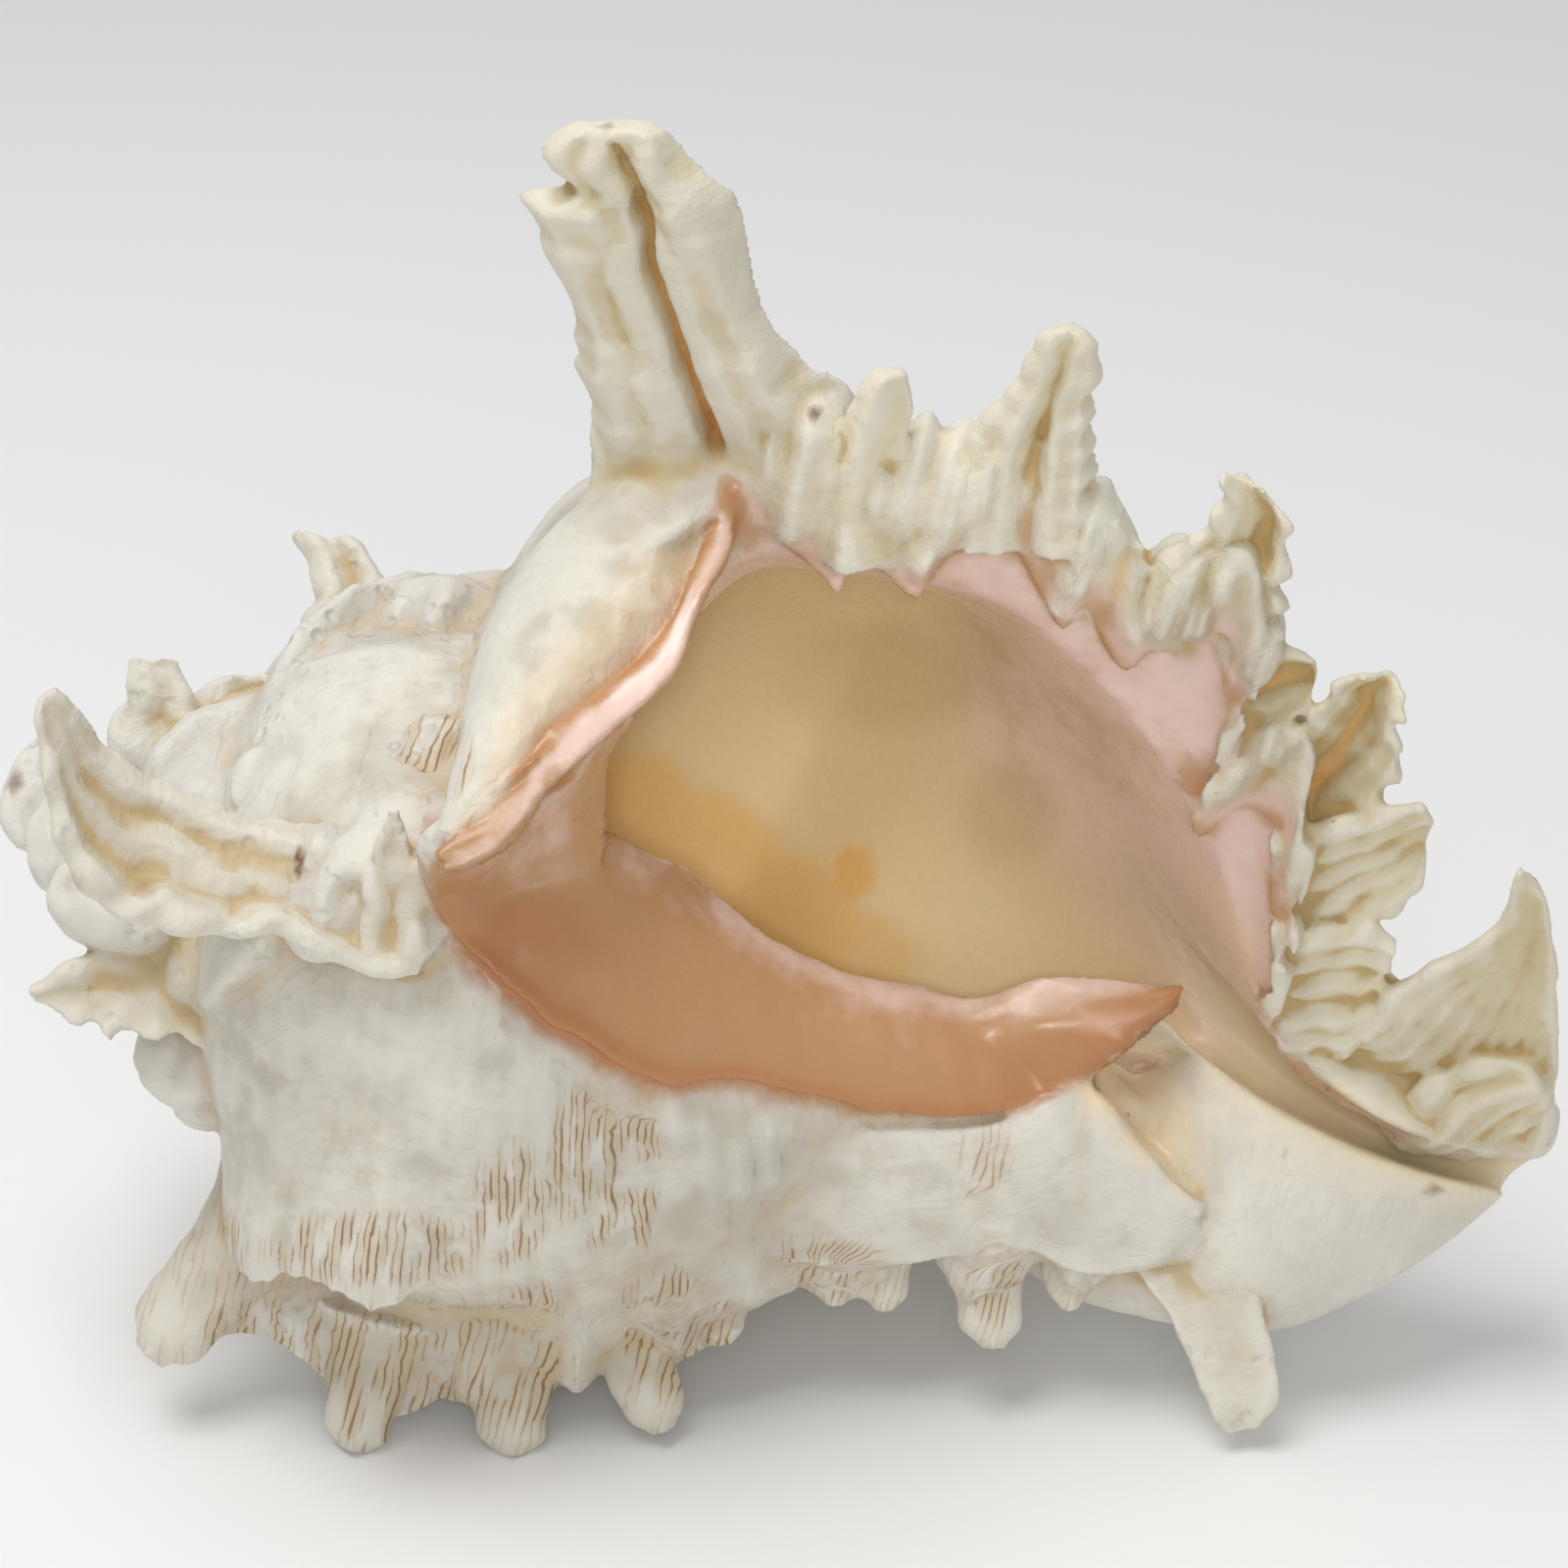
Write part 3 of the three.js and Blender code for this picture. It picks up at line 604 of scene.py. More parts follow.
# Colours
BODY_SHADE = (0.49, 0.45, 0.37)
BODY_LIGHT = (0.77, 0.73, 0.64)
PATCH_GREY = (0.50, 0.46, 0.39)
MOTTLE_GREY = (0.52, 0.47, 0.39)
GROWTH_TAN = (0.56, 0.50, 0.39)
CHALK_WHITE = (0.66, 0.63, 0.58)
CHALK_STAIN = (0.50, 0.42, 0.34)
FROND_SHADE = (0.60, 0.49, 0.27)
FROND_LIGHT = (0.79, 0.73, 0.52)
# Painted shade in hollows, most on fronds
PAINTED_HOLLOW_SHADE = (0.52, 0.35, 0.12)
CREST_WHITE = (0.82, 0.80, 0.72)
GROOVE_ORANGE = (0.80, 0.43, 0.14)
THREAD_WASH = (0.56, 0.40, 0.17)
THREAD_BROWN = (0.22, 0.10, 0.04)
STAIN_BROWN = (0.20, 0.09, 0.04)
LIP_PINK = (0.78, 0.57, 0.49)
LIP_BLUSH = (0.50, 0.28, 0.135)
LIP_ORANGE = (0.48, 0.21, 0.085)
# Painted shade on the lip, and the darker orange at the callus's left end
LIP_PAINTED_SHADE = (0.46, 0.22, 0.09)
# Inside the mouth: tan and cream paint warm shade on a white wall lit through its thin shell, with amber
# places and darker painted shade
INSIDE_SHADE_TAN = (0.93, 0.73, 0.41)
INSIDE_SHADE_CREAM = (0.96, 0.84, 0.57)
INSIDE_AMBER = (0.94, 0.61, 0.23)
INSIDE_PAINTED_SHADE = (0.70, 0.52, 0.30)


# Numbers

def smooth(value, low, high):
    share = np.clip((np.asarray(value, float) - low) / (high - low), 0, 1)
    return share * share * (3 - 2 * share)


def lerp(a, b, share):
    return a + (b - a) * share


def spot(along, out, angle):
    turned = np.radians(angle)
    along, out, turned = np.broadcast_arrays(along, out, turned)
    return np.stack([along, -out * np.sin(turned), out * np.cos(turned)], -1).astype(float)


def camera_axes():
    tilt = math.radians(CAMERA_TILT)
    return np.array([(math.cos(tilt), 0, math.sin(tilt)), (-math.sin(tilt), 0, math.cos(tilt)), (0, 1, 0)])


def sight(x, y):
    """The line of sight through a photo point, per millimetre of depth."""
    right, up, away = camera_axes()
    x, y = np.asarray(x, float)[..., None], np.asarray(y, float)[..., None]
    return right * (x - PHOTO_SIZE / 2) / PHOTO_FOCAL + up * (PHOTO_SIZE / 2 - y) / PHOTO_FOCAL + away


def seen_at(x, y, depth):
    """Where a photo point lies at a depth."""
    return CAMERA_SPOT + sight(x, y) * (np.asarray(depth, float) - CAMERA_SPOT[1])[..., None]


def seen_on(x, y, angle):
    """Where a photo point lies on the half-plane at an angle round the axis."""
    across = spot(0, 1, np.asarray(angle, float) + 90)
    line = sight(x, y)
    reach = -(CAMERA_SPOT * across).sum(-1) / (line * across).sum(-1)
    return CAMERA_SPOT + line * reach[..., None]


def photo_point(places):
    """The photo point at which each place is seen."""
    right, up, away = camera_axes()
    far = places - CAMERA_SPOT
    return (PHOTO_SIZE / 2 + PHOTO_FOCAL * (far @ right) / (far @ away),
            PHOTO_SIZE / 2 - PHOTO_FOCAL * (far @ up) / (far @ away))


def growth(turn):
    return GROWTH_PER_TURN ** (np.asarray(turn, float) / 360)


def flowing(points, places):
    """Values on a smooth curve through rows of numbers, at shares of its length.

    The length is measured in the first two numbers of a row, or in the first three of a row of six.
    """
    rows = np.asarray(points, float)
    rows = np.concatenate([2 * rows[:1] - rows[1:2], rows, 2 * rows[-1:] - rows[-2:-1]])
    t = np.linspace(0, 1, CURVE_STEPS, endpoint=False)[:, None]
    parts = []
    for a, b, c, d in zip(rows, rows[1:], rows[2:], rows[3:]):
        bend, twist = 2 * a - 5 * b + 4 * c - d, 3 * b - a - 3 * c + d
        parts.append(0.5 * (2 * b + (c - a) * t + bend * t**2 + twist * t**3))
    path = np.concatenate([*parts, rows[-2:-1]])
    steps = np.linalg.norm(np.diff(path[:, :3 if path.shape[1] > 5 else 2], axis=0), axis=1)
    length = np.concatenate([[0], np.cumsum(steps)])
    return np.stack([np.interp(places, length / length[-1], column) for column in path.T], -1)


def lumps(points, size, seed):
    """Smooth random values from -1 to 1 over places, in lumps of one size."""
    place = np.asarray(points, float) / size + seed * SEED_STEP
    cell = np.floor(place).astype(np.int64)
    inside = place - cell
    inside = inside * inside * (3 - 2 * inside)
    total = np.zeros(len(place))
    for corner in range(8):
        step = np.array([corner & 1, corner >> 1 & 1, corner >> 2 & 1])
        key = (cell + step) @ np.array(LUMP_KEYS)
        key = (key ^ (key >> 13)) * KEY_FACTOR & KEY_MASK
        value = (key ^ (key >> 9)) % KEY_RANGE / (KEY_RANGE // 2) - 1
        weight = np.prod(np.where(step, inside, 1 - inside), axis=1)
        total += value * weight
    return total


# Meshes

# Places on the pieces as they are made, the way the surface faces there and what the surface is
marks = []
MARKS = ["turn", "share", "glaze", "edge", "deep", "frond", "groove", "chalk", "thread"]
# Vectors that the material reads at the vertices. The last part of the last one only fills it up
ZONES = {
    "zone_warm": ("glaze", "edge", "deep"), "zone_shell": ("frond", "groove", "chalk"),
    "zone_place": ("turn", "share", "thread"), "zone_form": ("dip", "steady", "stain"),
    "zone_tone": ("amber", "painted_shade", "thread"),
}


def mark(points, other, first=True, **values):
    """Notes what one side of a piece is. The other side tells which way this one faces."""
    facing = np.cross(np.gradient(points, axis=0), np.gradient(points, axis=1))
    facing *= np.sign((facing * (points - other)).sum(-1))[..., None]
    facing /= np.linalg.norm(facing, axis=-1)[..., None] + 1e-9
    row = np.zeros((*points.shape[:2], len(MARKS)))
    for name, value in values.items():
        row[..., MARKS.index(name)] = value
    marks.append((points.reshape(-1, 3), facing.reshape(-1, 3), row.reshape(-1, len(MARKS)), first))


def closed_sheet(name, front, back):
    """A closed piece with two faces, from a grid that is wrapped round and merged where it meets itself."""
    ends = (front + back) / 2
    front = np.concatenate([ends[:1], front, ends[-1:]])
    back = np.concatenate([ends[:1], back, ends[-1:]])
    ring = np.concatenate([front, back[:, ::-1], front[:, :1]], axis=1)
    rows, columns = ring.shape[:2]
    bpy.ops.object.select_all(action="DESELECT")
    bpy.ops.mesh.primitive_grid_add(x_subdivisions=columns - 1, y_subdivisions=rows - 1, size=1)
    piece = bpy.context.object
    piece.name = name
    assert len(piece.data.vertices) == rows * columns, (len(piece.data.vertices), rows, columns)
    piece.data.vertices.foreach_set("co", ring.reshape(-1))
    bpy.ops.object.mode_set(mode="EDIT")
    bpy.ops.mesh.select_all(action="SELECT")
    bpy.ops.mesh.remove_doubles(threshold=MERGED)
    bpy.ops.mesh.normals_make_consistent(inside=False)
    bpy.ops.object.mode_set(mode="OBJECT")
    return piece


def joined(pieces):
    bpy.ops.object.select_all(action="DESELECT")
    for piece in pieces:
        piece.select_set(True)
    bpy.context.view_layer.objects.active = pieces[0]
    bpy.ops.object.join()
    return bpy.context.object


def finished(piece, kind, **settings):
    """A modifier put on a piece and applied."""
    bpy.ops.object.select_all(action="DESELECT")
    piece.select_set(True)
    bpy.context.view_layer.objects.active = piece
    modifier = piece.modifiers.new(kind.lower(), kind)
    for key, value in settings.items():
        setattr(modifier, key, value)
    bpy.ops.object.modifier_apply(modifier=modifier.name)
    return piece


# Whorls

def along_at(along, turn):
    slowing = CANAL_SLOWING * smooth(along, CANAL_FROM, CANAL_TO)
    return along * growth(turn) ** (1 - slowing)


def lead(share):
    return SUTURE_LEAD * (1 - smooth(share, 0, LEAD_SHARE))


def web(share):
    """How far the edge of a fringed varix stands out: most at its spines."""
    near = np.zeros(np.shape(share))
    samples = np.linspace(0, 1, OUTLINE_SAMPLES)
    outline = flowing(WHORL_OUTLINE, samples)
    for row in FRINGE_SPINES:
        place = np.interp(row[0] / growth(VARIX_TURNS[2]) ** WEB_GROWTH, outline[:, 0], samples)
        near = np.maximum(near, np.exp(-((share - place) / WEB_SPINE_WIDTH) ** 2))
    return 1 - WEB_DIP * (1 - near)


def rib_height(turn, share):
    tallest = np.zeros(np.broadcast(turn, share).shape)
    for crest, size, start, end, rise_suture, rise_canal, fall, roll in RIBS:
        stretch = smooth(share, start - RIB_FADE, start) * (1 - smooth(share, end, end + RIB_FADE))
        rise = lerp(rise_suture, rise_canal, smooth(share, *RIB_SHARES))
        early = roll * (1 - smooth(share, *ROLL_SHARES))
        top = crest - early
        before = smooth((turn - top) / rise, -1, 0)
        after = 1 - smooth((turn - top) / (fall + early), 0, 1)
        height = size * stretch * np.where(turn < top, before, after)
        if crest in VARIX_TURNS[1:3]:
            height = height * web(share)
        elif fall < LEDGE_FALL:
            height = height * (1 - SCALLOP_DEPTH * np.abs(np.sin(math.pi * SCALLOPS * share)))
        tallest = np.maximum(tallest, height)
    return tallest


def whorl_place(turn, share):
    """Distance along, distance out and angle of the outside of the shell."""
    p = flowing(WHORL_OUTLINE, share)
    local = turn + lead(share)
    early = 1 - smooth(local, DESCENT_TURN, 0)
    back = DESCENT * growth(local) * early * np.maximum(0, 1 - share / LEAD_SHARE)
    along = along_at(p[..., 0], local) - back
    out = (p[..., 1] + p[..., 2] * rib_height(turn, share)) * growth(local)
    place = spot(along, out, LIP_ANGLE + local).reshape(-1, 3)
    large, small = (lumps(place, size, seed=3).reshape(out.shape) for size in LUMP_SIZES)
    wander = CORD_WANDER[0] * np.sin(CORD_WANDER[1] * share)
    uneven = CORD_UNEVEN[0] + CORD_UNEVEN[1] * large
    cord = CORD_HEIGHT * np.sin(2 * math.pi * CORDS * share + wander) * uneven
    worn = lerp(MOTTLES, WORN_LUMPS, smooth(-turn, -WORN_FROM[0], -WORN_FROM[1]))
    out = out + cord * growth(local) + worn * (large + SMALL_LUMPS * small)
    return along, out, LIP_ANGLE + local


def whorls():
    old, fine = np.arange(OLDEST_TURN, FINE_TURN, OLD_STEP), np.linspace(FINE_TURN, FLANGE_TURN, FINE_ROWS)
    turns = np.concatenate([old, fine])[:, None]
    shares = np.linspace(0, 1, WHORL_COLUMNS)[None, :]
    along, out, angle = whorl_place(turns, shares)
    outside = spot(along, out, angle)
    core_out = CORE_RADIUS * growth(angle - LIP_ANGLE)
    core = spot(along, core_out, angle)
    chalk = 1 - smooth(turns, FINE_TURN, CHALK_ENDS)
    mark(outside, core, first=False, turn=turns, share=shares, chalk=chalk)
    rise = np.linspace(0, 1, END_ROWS)[:, None]
    end = spot(along[-1], lerp(core_out[-1], out[-1], rise), angle[-1])
    behind = np.broadcast_to(outside[-END_BEHIND], end.shape)
    mark(end, behind, first=False, frond=0.4, share=shares, turn=rise * END_TURNS)
    return closed_sheet("whorls", outside, core)


def surface_out(along, turn):
    """Distance out of the whorls' surface at a turn."""
    shares = np.linspace(0, 1, SURFACE_SAMPLES)
    place, out, _ = whorl_place(turn - lead(shares), shares)
    return np.interp(along, place, out)


def hollow():
    places = np.linspace(0, 1, HOLLOW_COLUMNS)
    outer = flowing(HOLLOW_OUTSIDE, places)
    inner = flowing(HOLLOW_INSIDE, places)
    ridge_lead = np.interp(places, np.linspace(0, 1, len(RIDGE_LEAD)), RIDGE_LEAD)
    ridge_out = np.interp(places, np.linspace(0, 1, len(RIDGE_OUT)), RIDGE_OUT)
    turns = np.arange(HOLLOW_END_TURN, HOLLOW_FRONT_TURN + 0.1, HOLLOW_STEP)[:, None]
    local = turns + SUTURE_LEAD * (1 - smooth(outer[:, 0], *LEAD_STRETCH))[None, :]
    flaring = smooth(outer[:, 0], *FLARE_STARTS) * (1 - smooth(outer[:, 0], *FLARE_STOPS))
    flare = LIP_FLARE * flaring * smooth(turns, *LIP_FLARE_TURNS)
    shallow = 1 - HOLLOW_NARROWS * smooth(-turns, *NARROW_TURNS) * smooth(outer[:, 0], *NARROW_STRETCH)
    outer_out = outer[:, 1] * growth(local) * shallow + flare
    front = spot(along_at(outer[:, 0][None], local), outer_out, LIP_ANGLE + local)
    inward = turns + ridge_lead[None, :]
    bent = smooth(turns, -RIDGE_FALL, 0)
    out = lerp(inner[:, 1][None] * growth(turns), ridge_out[None, :], bent)
    back = spot(along_at(inner[:, 0][None], turns), out, LIP_ANGLE + inward)
    inward_side, outward_side = 2 * back - front, 2 * front - back
    # Deep in the mouth the wall is glazed, and painted tan as warm shade on a white wall lit through the thin
    # shell
    fade = lerp(*TAN_FADE, smooth(outer[:, 0], *TAN_STRETCH))
    deep = 1 - smooth(turns, TAN_ENDS - fade, TAN_ENDS)
    for side, other, warm in ((front, outward_side, OUTER_WARMTH), (back, inward_side, INNER_WARMTH)):
        mark(side, other, glaze=1, edge=warm, deep=deep, turn=turns, share=places)
    return closed_sheet("hollow", front, back)


# Canals

def horn(name, stations, **values):
    """A closed horn of oval sections, with its rounded ends in the plane of each section."""
    s = flowing(stations, np.linspace(0, 1, HORN_ROWS))
    top = np.stack([s[:, 0], -s[:, 2], s[:, 1]], -1)
    low = np.stack([s[:, 0], -s[:, 4], s[:, 3]], -1)
    middle = (top + low) / 2
    half = top - middle
    across = np.cross([1.0, 0, 0], half)
    across *= (s[:, 5] / np.linalg.norm(across, axis=1))[:, None]
    angle = np.linspace(0, math.pi, HORN_COLUMNS)[None, :, None]
    front = middle[:, None] + half[:, None] * np.cos(angle) + across[:, None] * np.sin(angle)
    back = middle[:, None] + half[:, None] * np.cos(angle) - across[:, None] * np.sin(angle)
    share = 0.8 + 0.2 * angle[..., 0] / math.pi
    for side, other in ((front, back), (back, front)):
        mark(side, other, first=False, share=share, turn=-s[:, :1] * 2, **values)
    return closed_sheet(name, front, back)


def slit():
    s = flowing(SLIT, np.linspace(0, 1, HORN_ROWS))
    depth = np.linspace(0, 1, HORN_COLUMNS)[None, :]
    width = s[:, 2:3]
    y = lerp(SLIT_TOP, SLIT_FLOOR, depth) + 0 * s[:, :1]
    half = width * np.sqrt(1 - np.clip((y - SLIT_FLOOR + width) / width, 0, SLIT_ROUND) ** 2)
    sides = [np.stack([s[:, :1] + 0 * y, y, s[:, 1:2] + way * half], -1) for way in (-1, 1)]
    low = slice(HORN_COLUMNS // 2, None)
    # The slit's lower half is painted with part of the inside's tan shade
    for side, other in (sides, sides[::-1]):
        mark(side[:, low], 2 * side[:, low] - other[:, low], deep=SLIT_TAN, share=0.9)
    return closed_sheet("slit", *sides)


# Inner lip

def callus():
    s = flowing(CALLUS, np.linspace(0, 1, CALLUS_ROWS))
    ridge_angle = np.array(RIDGE_LEAD) + LIP_ANGLE + HOLLOW_FRONT_TURN
    ridge = np.interp(s[:, 0], [p[0] for p in HOLLOW_INSIDE], ridge_angle)
    columns = np.linspace(0, 1, CALLUS_COLUMNS)
    bead = np.exp(-((columns - BEAD_PLACE) / BEAD_WIDTH) ** 2)
    proud = CALLUS_PROUD * (smooth(columns, -0.1, 0.5) + BEAD_HEIGHT * bead)
    top, under = [], []
    for along, edge, start in zip(s[:, 0], s[:, 1], ridge):
        ragged = float(lumps([[along, 0, 0]], size=3, seed=5)[0]) * CALLUS_RAGGED
        angle = lerp(start - CALLUS_OVER, edge + ragged, columns)
        out = np.array([surface_out(along, a - LIP_ANGLE - 360) for a in angle])
        stand = np.interp(angle, *zip(*CALLUS_STAND))
        out = lerp(out, np.maximum(out, stand), smooth(along, *CALLUS_FREE))
        top.append(spot(along, out + proud, angle))
        root = CALLUS_ROOT * (1 - CALLUS_THINNED * smooth(along, *CALLUS_THINS))
        under.append(spot(along, np.maximum(out - root, 1), angle))
    top, under = np.array(top), np.array(under)
    tone = np.interp(s[:, 0], CALLUS_TONE_AT, CALLUS_TONE)[:, None]
    rim = smooth(columns, *CALLUS_RIM)
    mark(top, under, glaze=1, edge=tone * (0.35 + 0.65 * smooth(columns, 0, 0.5)) + 0.35 * rim)
    mark(under, top, glaze=smooth(columns, 0.4, 0.8), edge=0.9)
    return closed_sheet("callus", top, under)


# Outer lip

def evened(values, width):
    """A row of values, each averaged with those round it."""
    weights = np.hanning(width) / np.hanning(width).sum()
    return np.convolve(np.pad(values, width // 2, mode="edge"), weights, mode="valid")


def lip_rim():
    points = flowing(LIP_EDGE, np.linspace(0, 1, LIP_ROWS))
    edge = seen_on(points[:, 0], points[:, 1], points[:, 2])
    edge_out = np.hypot(edge[:, 1], edge[:, 2])
    wall = flowing(HOLLOW_OUTSIDE, np.linspace(0, 1, OUTLINE_SAMPLES))
    flat = np.stack([edge[:, 0], edge_out], -1)
    near = np.argmin(np.linalg.norm(flat[:, None] - wall[None], axis=2), axis=1)
    root = np.stack([evened(wall[near, k], LIP_EVENED) for k in (0, 1)], -1)
    q = np.linspace(0, 1, LIP_COLUMNS)[None, :]
    turn = lerp(LIP_ROOT_TURN, 0, q)
    flare = smooth(q, -0.1, 1.15) ** 1.4
    along = lerp(root[:, :1], edge[:, :1], flare)
    out = lerp(root[:, 1:2] * growth(turn), edge_out[:, None], flare)
    angle = points[:, 2:3] + turn
    front = spot(along, out - LIP_FRONT, angle)
    back = spot(along, out + LIP_BACK, angle - LIP_BACK_TURN * q)
    # Towards its root the lip is painted with the inside's tan shade
    deep = 1 - smooth(q, 0.0, lerp(*LIP_TAN, smooth(along, *TAN_STRETCH)))
    mark(front, back, glaze=1, edge=0.1 + 0.6 * smooth(q, 0.88, 1), deep=deep)
    mark(back, front, glaze=smooth(q, 0.5, 0.9), edge=0.95)
    return closed_sheet("lip_rim", front, back)


def lip_collar():
    """Crumpled shell between the edge of the lip and the roots of the fronds."""
    points = flowing(LIP_EDGE, np.linspace(0, 1, LIP_ROWS))
    points = points[(points[:, 0] > COLLAR_LEFT) & (points[:, 1] < COLLAR_BOTTOM)]
    edge = seen_on(points[:, 0], points[:, 1], points[:, 2])[:, None]
    rise = np.linspace(0, 1, COLLAR_COLUMNS)[None, :, None]
    outward = spot(0, 1, points[:, 2])[:, None]
    ahead = spot(0, 1, points[:, 2] + 90)[:, None]
    flat = edge + outward * COLLAR * rise
    folds = lumps((flat * STRETCHED).reshape(-1, 3), COLLAR_FOLD_SIZE, seed=21).reshape(*flat.shape[:2], 1)
    swell = COLLAR_SWELL * np.sin(math.pi * COLLAR_ROUND * rise) - COLLAR_SUNK
    front = flat + ahead * (swell + COLLAR_FOLD * folds * smooth(rise, *COLLAR_FOLDS_FROM))
    back = flat - ahead * COLLAR_THICK
    near = 1 - smooth(rise[..., 0], *COLLAR_GLAZE)
    crease = smooth(-folds[..., 0], 0.1, 0.7)
    mark(front, back, glaze=near, edge=0.7 * near * (0.4 + 0.6 * crease), frond=0.6, groove=0.6 * crease,
         turn=rise[..., 0] * 20, share=points[:, :1] * 0.001)
    return closed_sheet("lip_collar", front, back)


def sheet_edges(table, rows):
    """The two edges of a sheet that was traced with depths."""
    t = flowing(table, np.linspace(0, 1, rows))
    return seen_at(t[:, 0], t[:, 1], t[:, 2]), seen_at(t[:, 3], t[:, 4], t[:, 5])


def facing_front(left, right):
    """The way that a sheet between two edges faces, towards the front."""
    way = np.gradient((left + right) / 2, axis=0)
    ahead = np.cross(right - left, way)
    return ahead * np.sign(-ahead[:, 1:2]) / np.linalg.norm(ahead, axis=1)[:, None]


def traced_sheet(table, rows, columns):
    """The places of a sheet that was traced with depths, the way it faces, and shares of the way across."""
    left, right = sheet_edges(table, rows)
    t = np.linspace(0, 1, columns)[None, :, None]
    return left[:, None] + (right - left)[:, None] * t, facing_front(left, right)[:, None], t


def old_flap():
    """The flat end of the older canal, with a sharp edge towards the present one."""
    middle, ahead, t = traced_sheet(OLD_FLAP, FLAP_ROWS, FLAP_COLUMNS)
    bumps = lumps(middle.reshape(-1, 3), size=5, seed=8).reshape(*middle.shape[:2], 1)
    front = middle + ahead * (FLAP_SWELL * np.sin(math.pi * t) + FLAP_BUMPS * bumps)
    back = middle - ahead * FLAP_THICK
    run = np.linspace(0, FLAP_LENGTH, FLAP_ROWS)[:, None]
    mark(front, back, turn=-t[..., 0] * 40, share=0.4 + run * THREAD_PITCH)
    return closed_sheet("old_flap", front, back)


def fringe_web():
    """Ribbed shell between the spines below the body."""
    middle, ahead, t = traced_sheet(FRINGE_WEB, WEB_ROWS, WEB_COLUMNS)
    bumps = lumps((middle * STRETCHED).reshape(-1, 3), size=2.4, seed=9).reshape(*middle.shape[:2], 1)
    front = middle + ahead * (WEB_SWELL * np.sin(math.pi * t) + WEB_BUMPS * bumps)
    back = middle - ahead * WEB_THICK * np.sqrt(1 - 0.9 * t)
    mark(front, back, turn=-t[..., 0] * 15, share=middle[..., 0] * THREAD_PITCH, thread=0.3, chalk=0.5)
    return closed_sheet("fringe_web", front, back)


def lip_ribbon():
    middle, ahead, t = traced_sheet(LIP_RIBBON, RIBBON_ROWS, RIBBON_COLUMNS)
    run = np.linspace(0, RIBBON_LENGTH, RIBBON_ROWS)[:, None, None]
    places = np.concatenate(np.broadcast_arrays(run, 0 * t, 0 * t), -1)
    wave = lumps(places.reshape(-1, 3), size=3, seed=31).reshape(*middle.shape[:2], 1)
    lift = np.sin(t * math.pi * 0.6) * RIBBON_SWELL + RIBBON_WAVE * t * wave
    front = middle + ahead * lift
    back = middle + ahead * (lift - RIBBON_THICK)
    t = t[..., 0]
    mark(front, back, glaze=1, edge=lerp(0.85, 0.15, smooth(t, 0.1, 0.5)) + 0.3 * smooth(t, 0.85, 1))
    mark(back, front, glaze=1, edge=0.6)
    return closed_sheet("lip_ribbon", front, back)


def corner_wall():
    middle, ahead, t = traced_sheet(CORNER_WALL, CORNER_ROWS, CORNER_COLUMNS)
    sag = -CORNER_SAG * np.sin(math.pi * t)
    front = middle + ahead * sag
    back = middle + ahead * (sag - CORNER_THICK)
    mark(front, back, glaze=1, edge=0.35 + 0.25 * t[..., 0])
    return closed_sheet("corner_wall", front, back)


def lip_roll():
    left, right = sheet_edges(LIP_ROLL, ROLL_ROWS)
    ahead = facing_front(left, right)[:, None]
    across = (right - left)[:, None]
    width = np.linalg.norm(across, axis=2)[..., None]
    angle = np.linspace(0, math.pi, ROLL_COLUMNS)[None, :, None]
    middle = (left + right)[:, None] / 2 - across / 2 * np.cos(angle)
    down = np.linspace(0, 1, ROLL_ROWS)[:, None]
    swell = np.sin(angle) * width * ROLL_HEIGHT * smooth(down, -0.1, 0.3)[..., None]
    front = middle + ahead * swell
    back = middle - ahead * swell
    across_it = angle[..., 0] / math.pi
    sandy = smooth(across_it, *GRAIN_ACROSS) * smooth(down, *GRAIN_DOWN)
    grain = lumps(front.reshape(-1, 3), ROLL_GRAIN_SIZE, seed=33).reshape(sandy.shape)
    front = front + ahead * (ROLL_GRAIN * sandy * grain)[..., None]
    crease = smooth(across_it, *CREASE_ACROSS) * smooth(down, *CREASE_DOWN)
    # Near its top the roll takes the fronds' yellow as painted olive shade, where it runs in under the first
    # frond
    mark(front, back, turn=-ROLL_TURNS * down, share=0.2 + 0.1 * across_it, edge=0.8 * crease, glaze=crease,
         frond=np.maximum(0.4 * (1 - smooth(down, 0, 0.35)), 0.35 * sandy), groove=0.42 * sandy)
    return closed_sheet("lip_roll", front, back)


# Fronds and spines

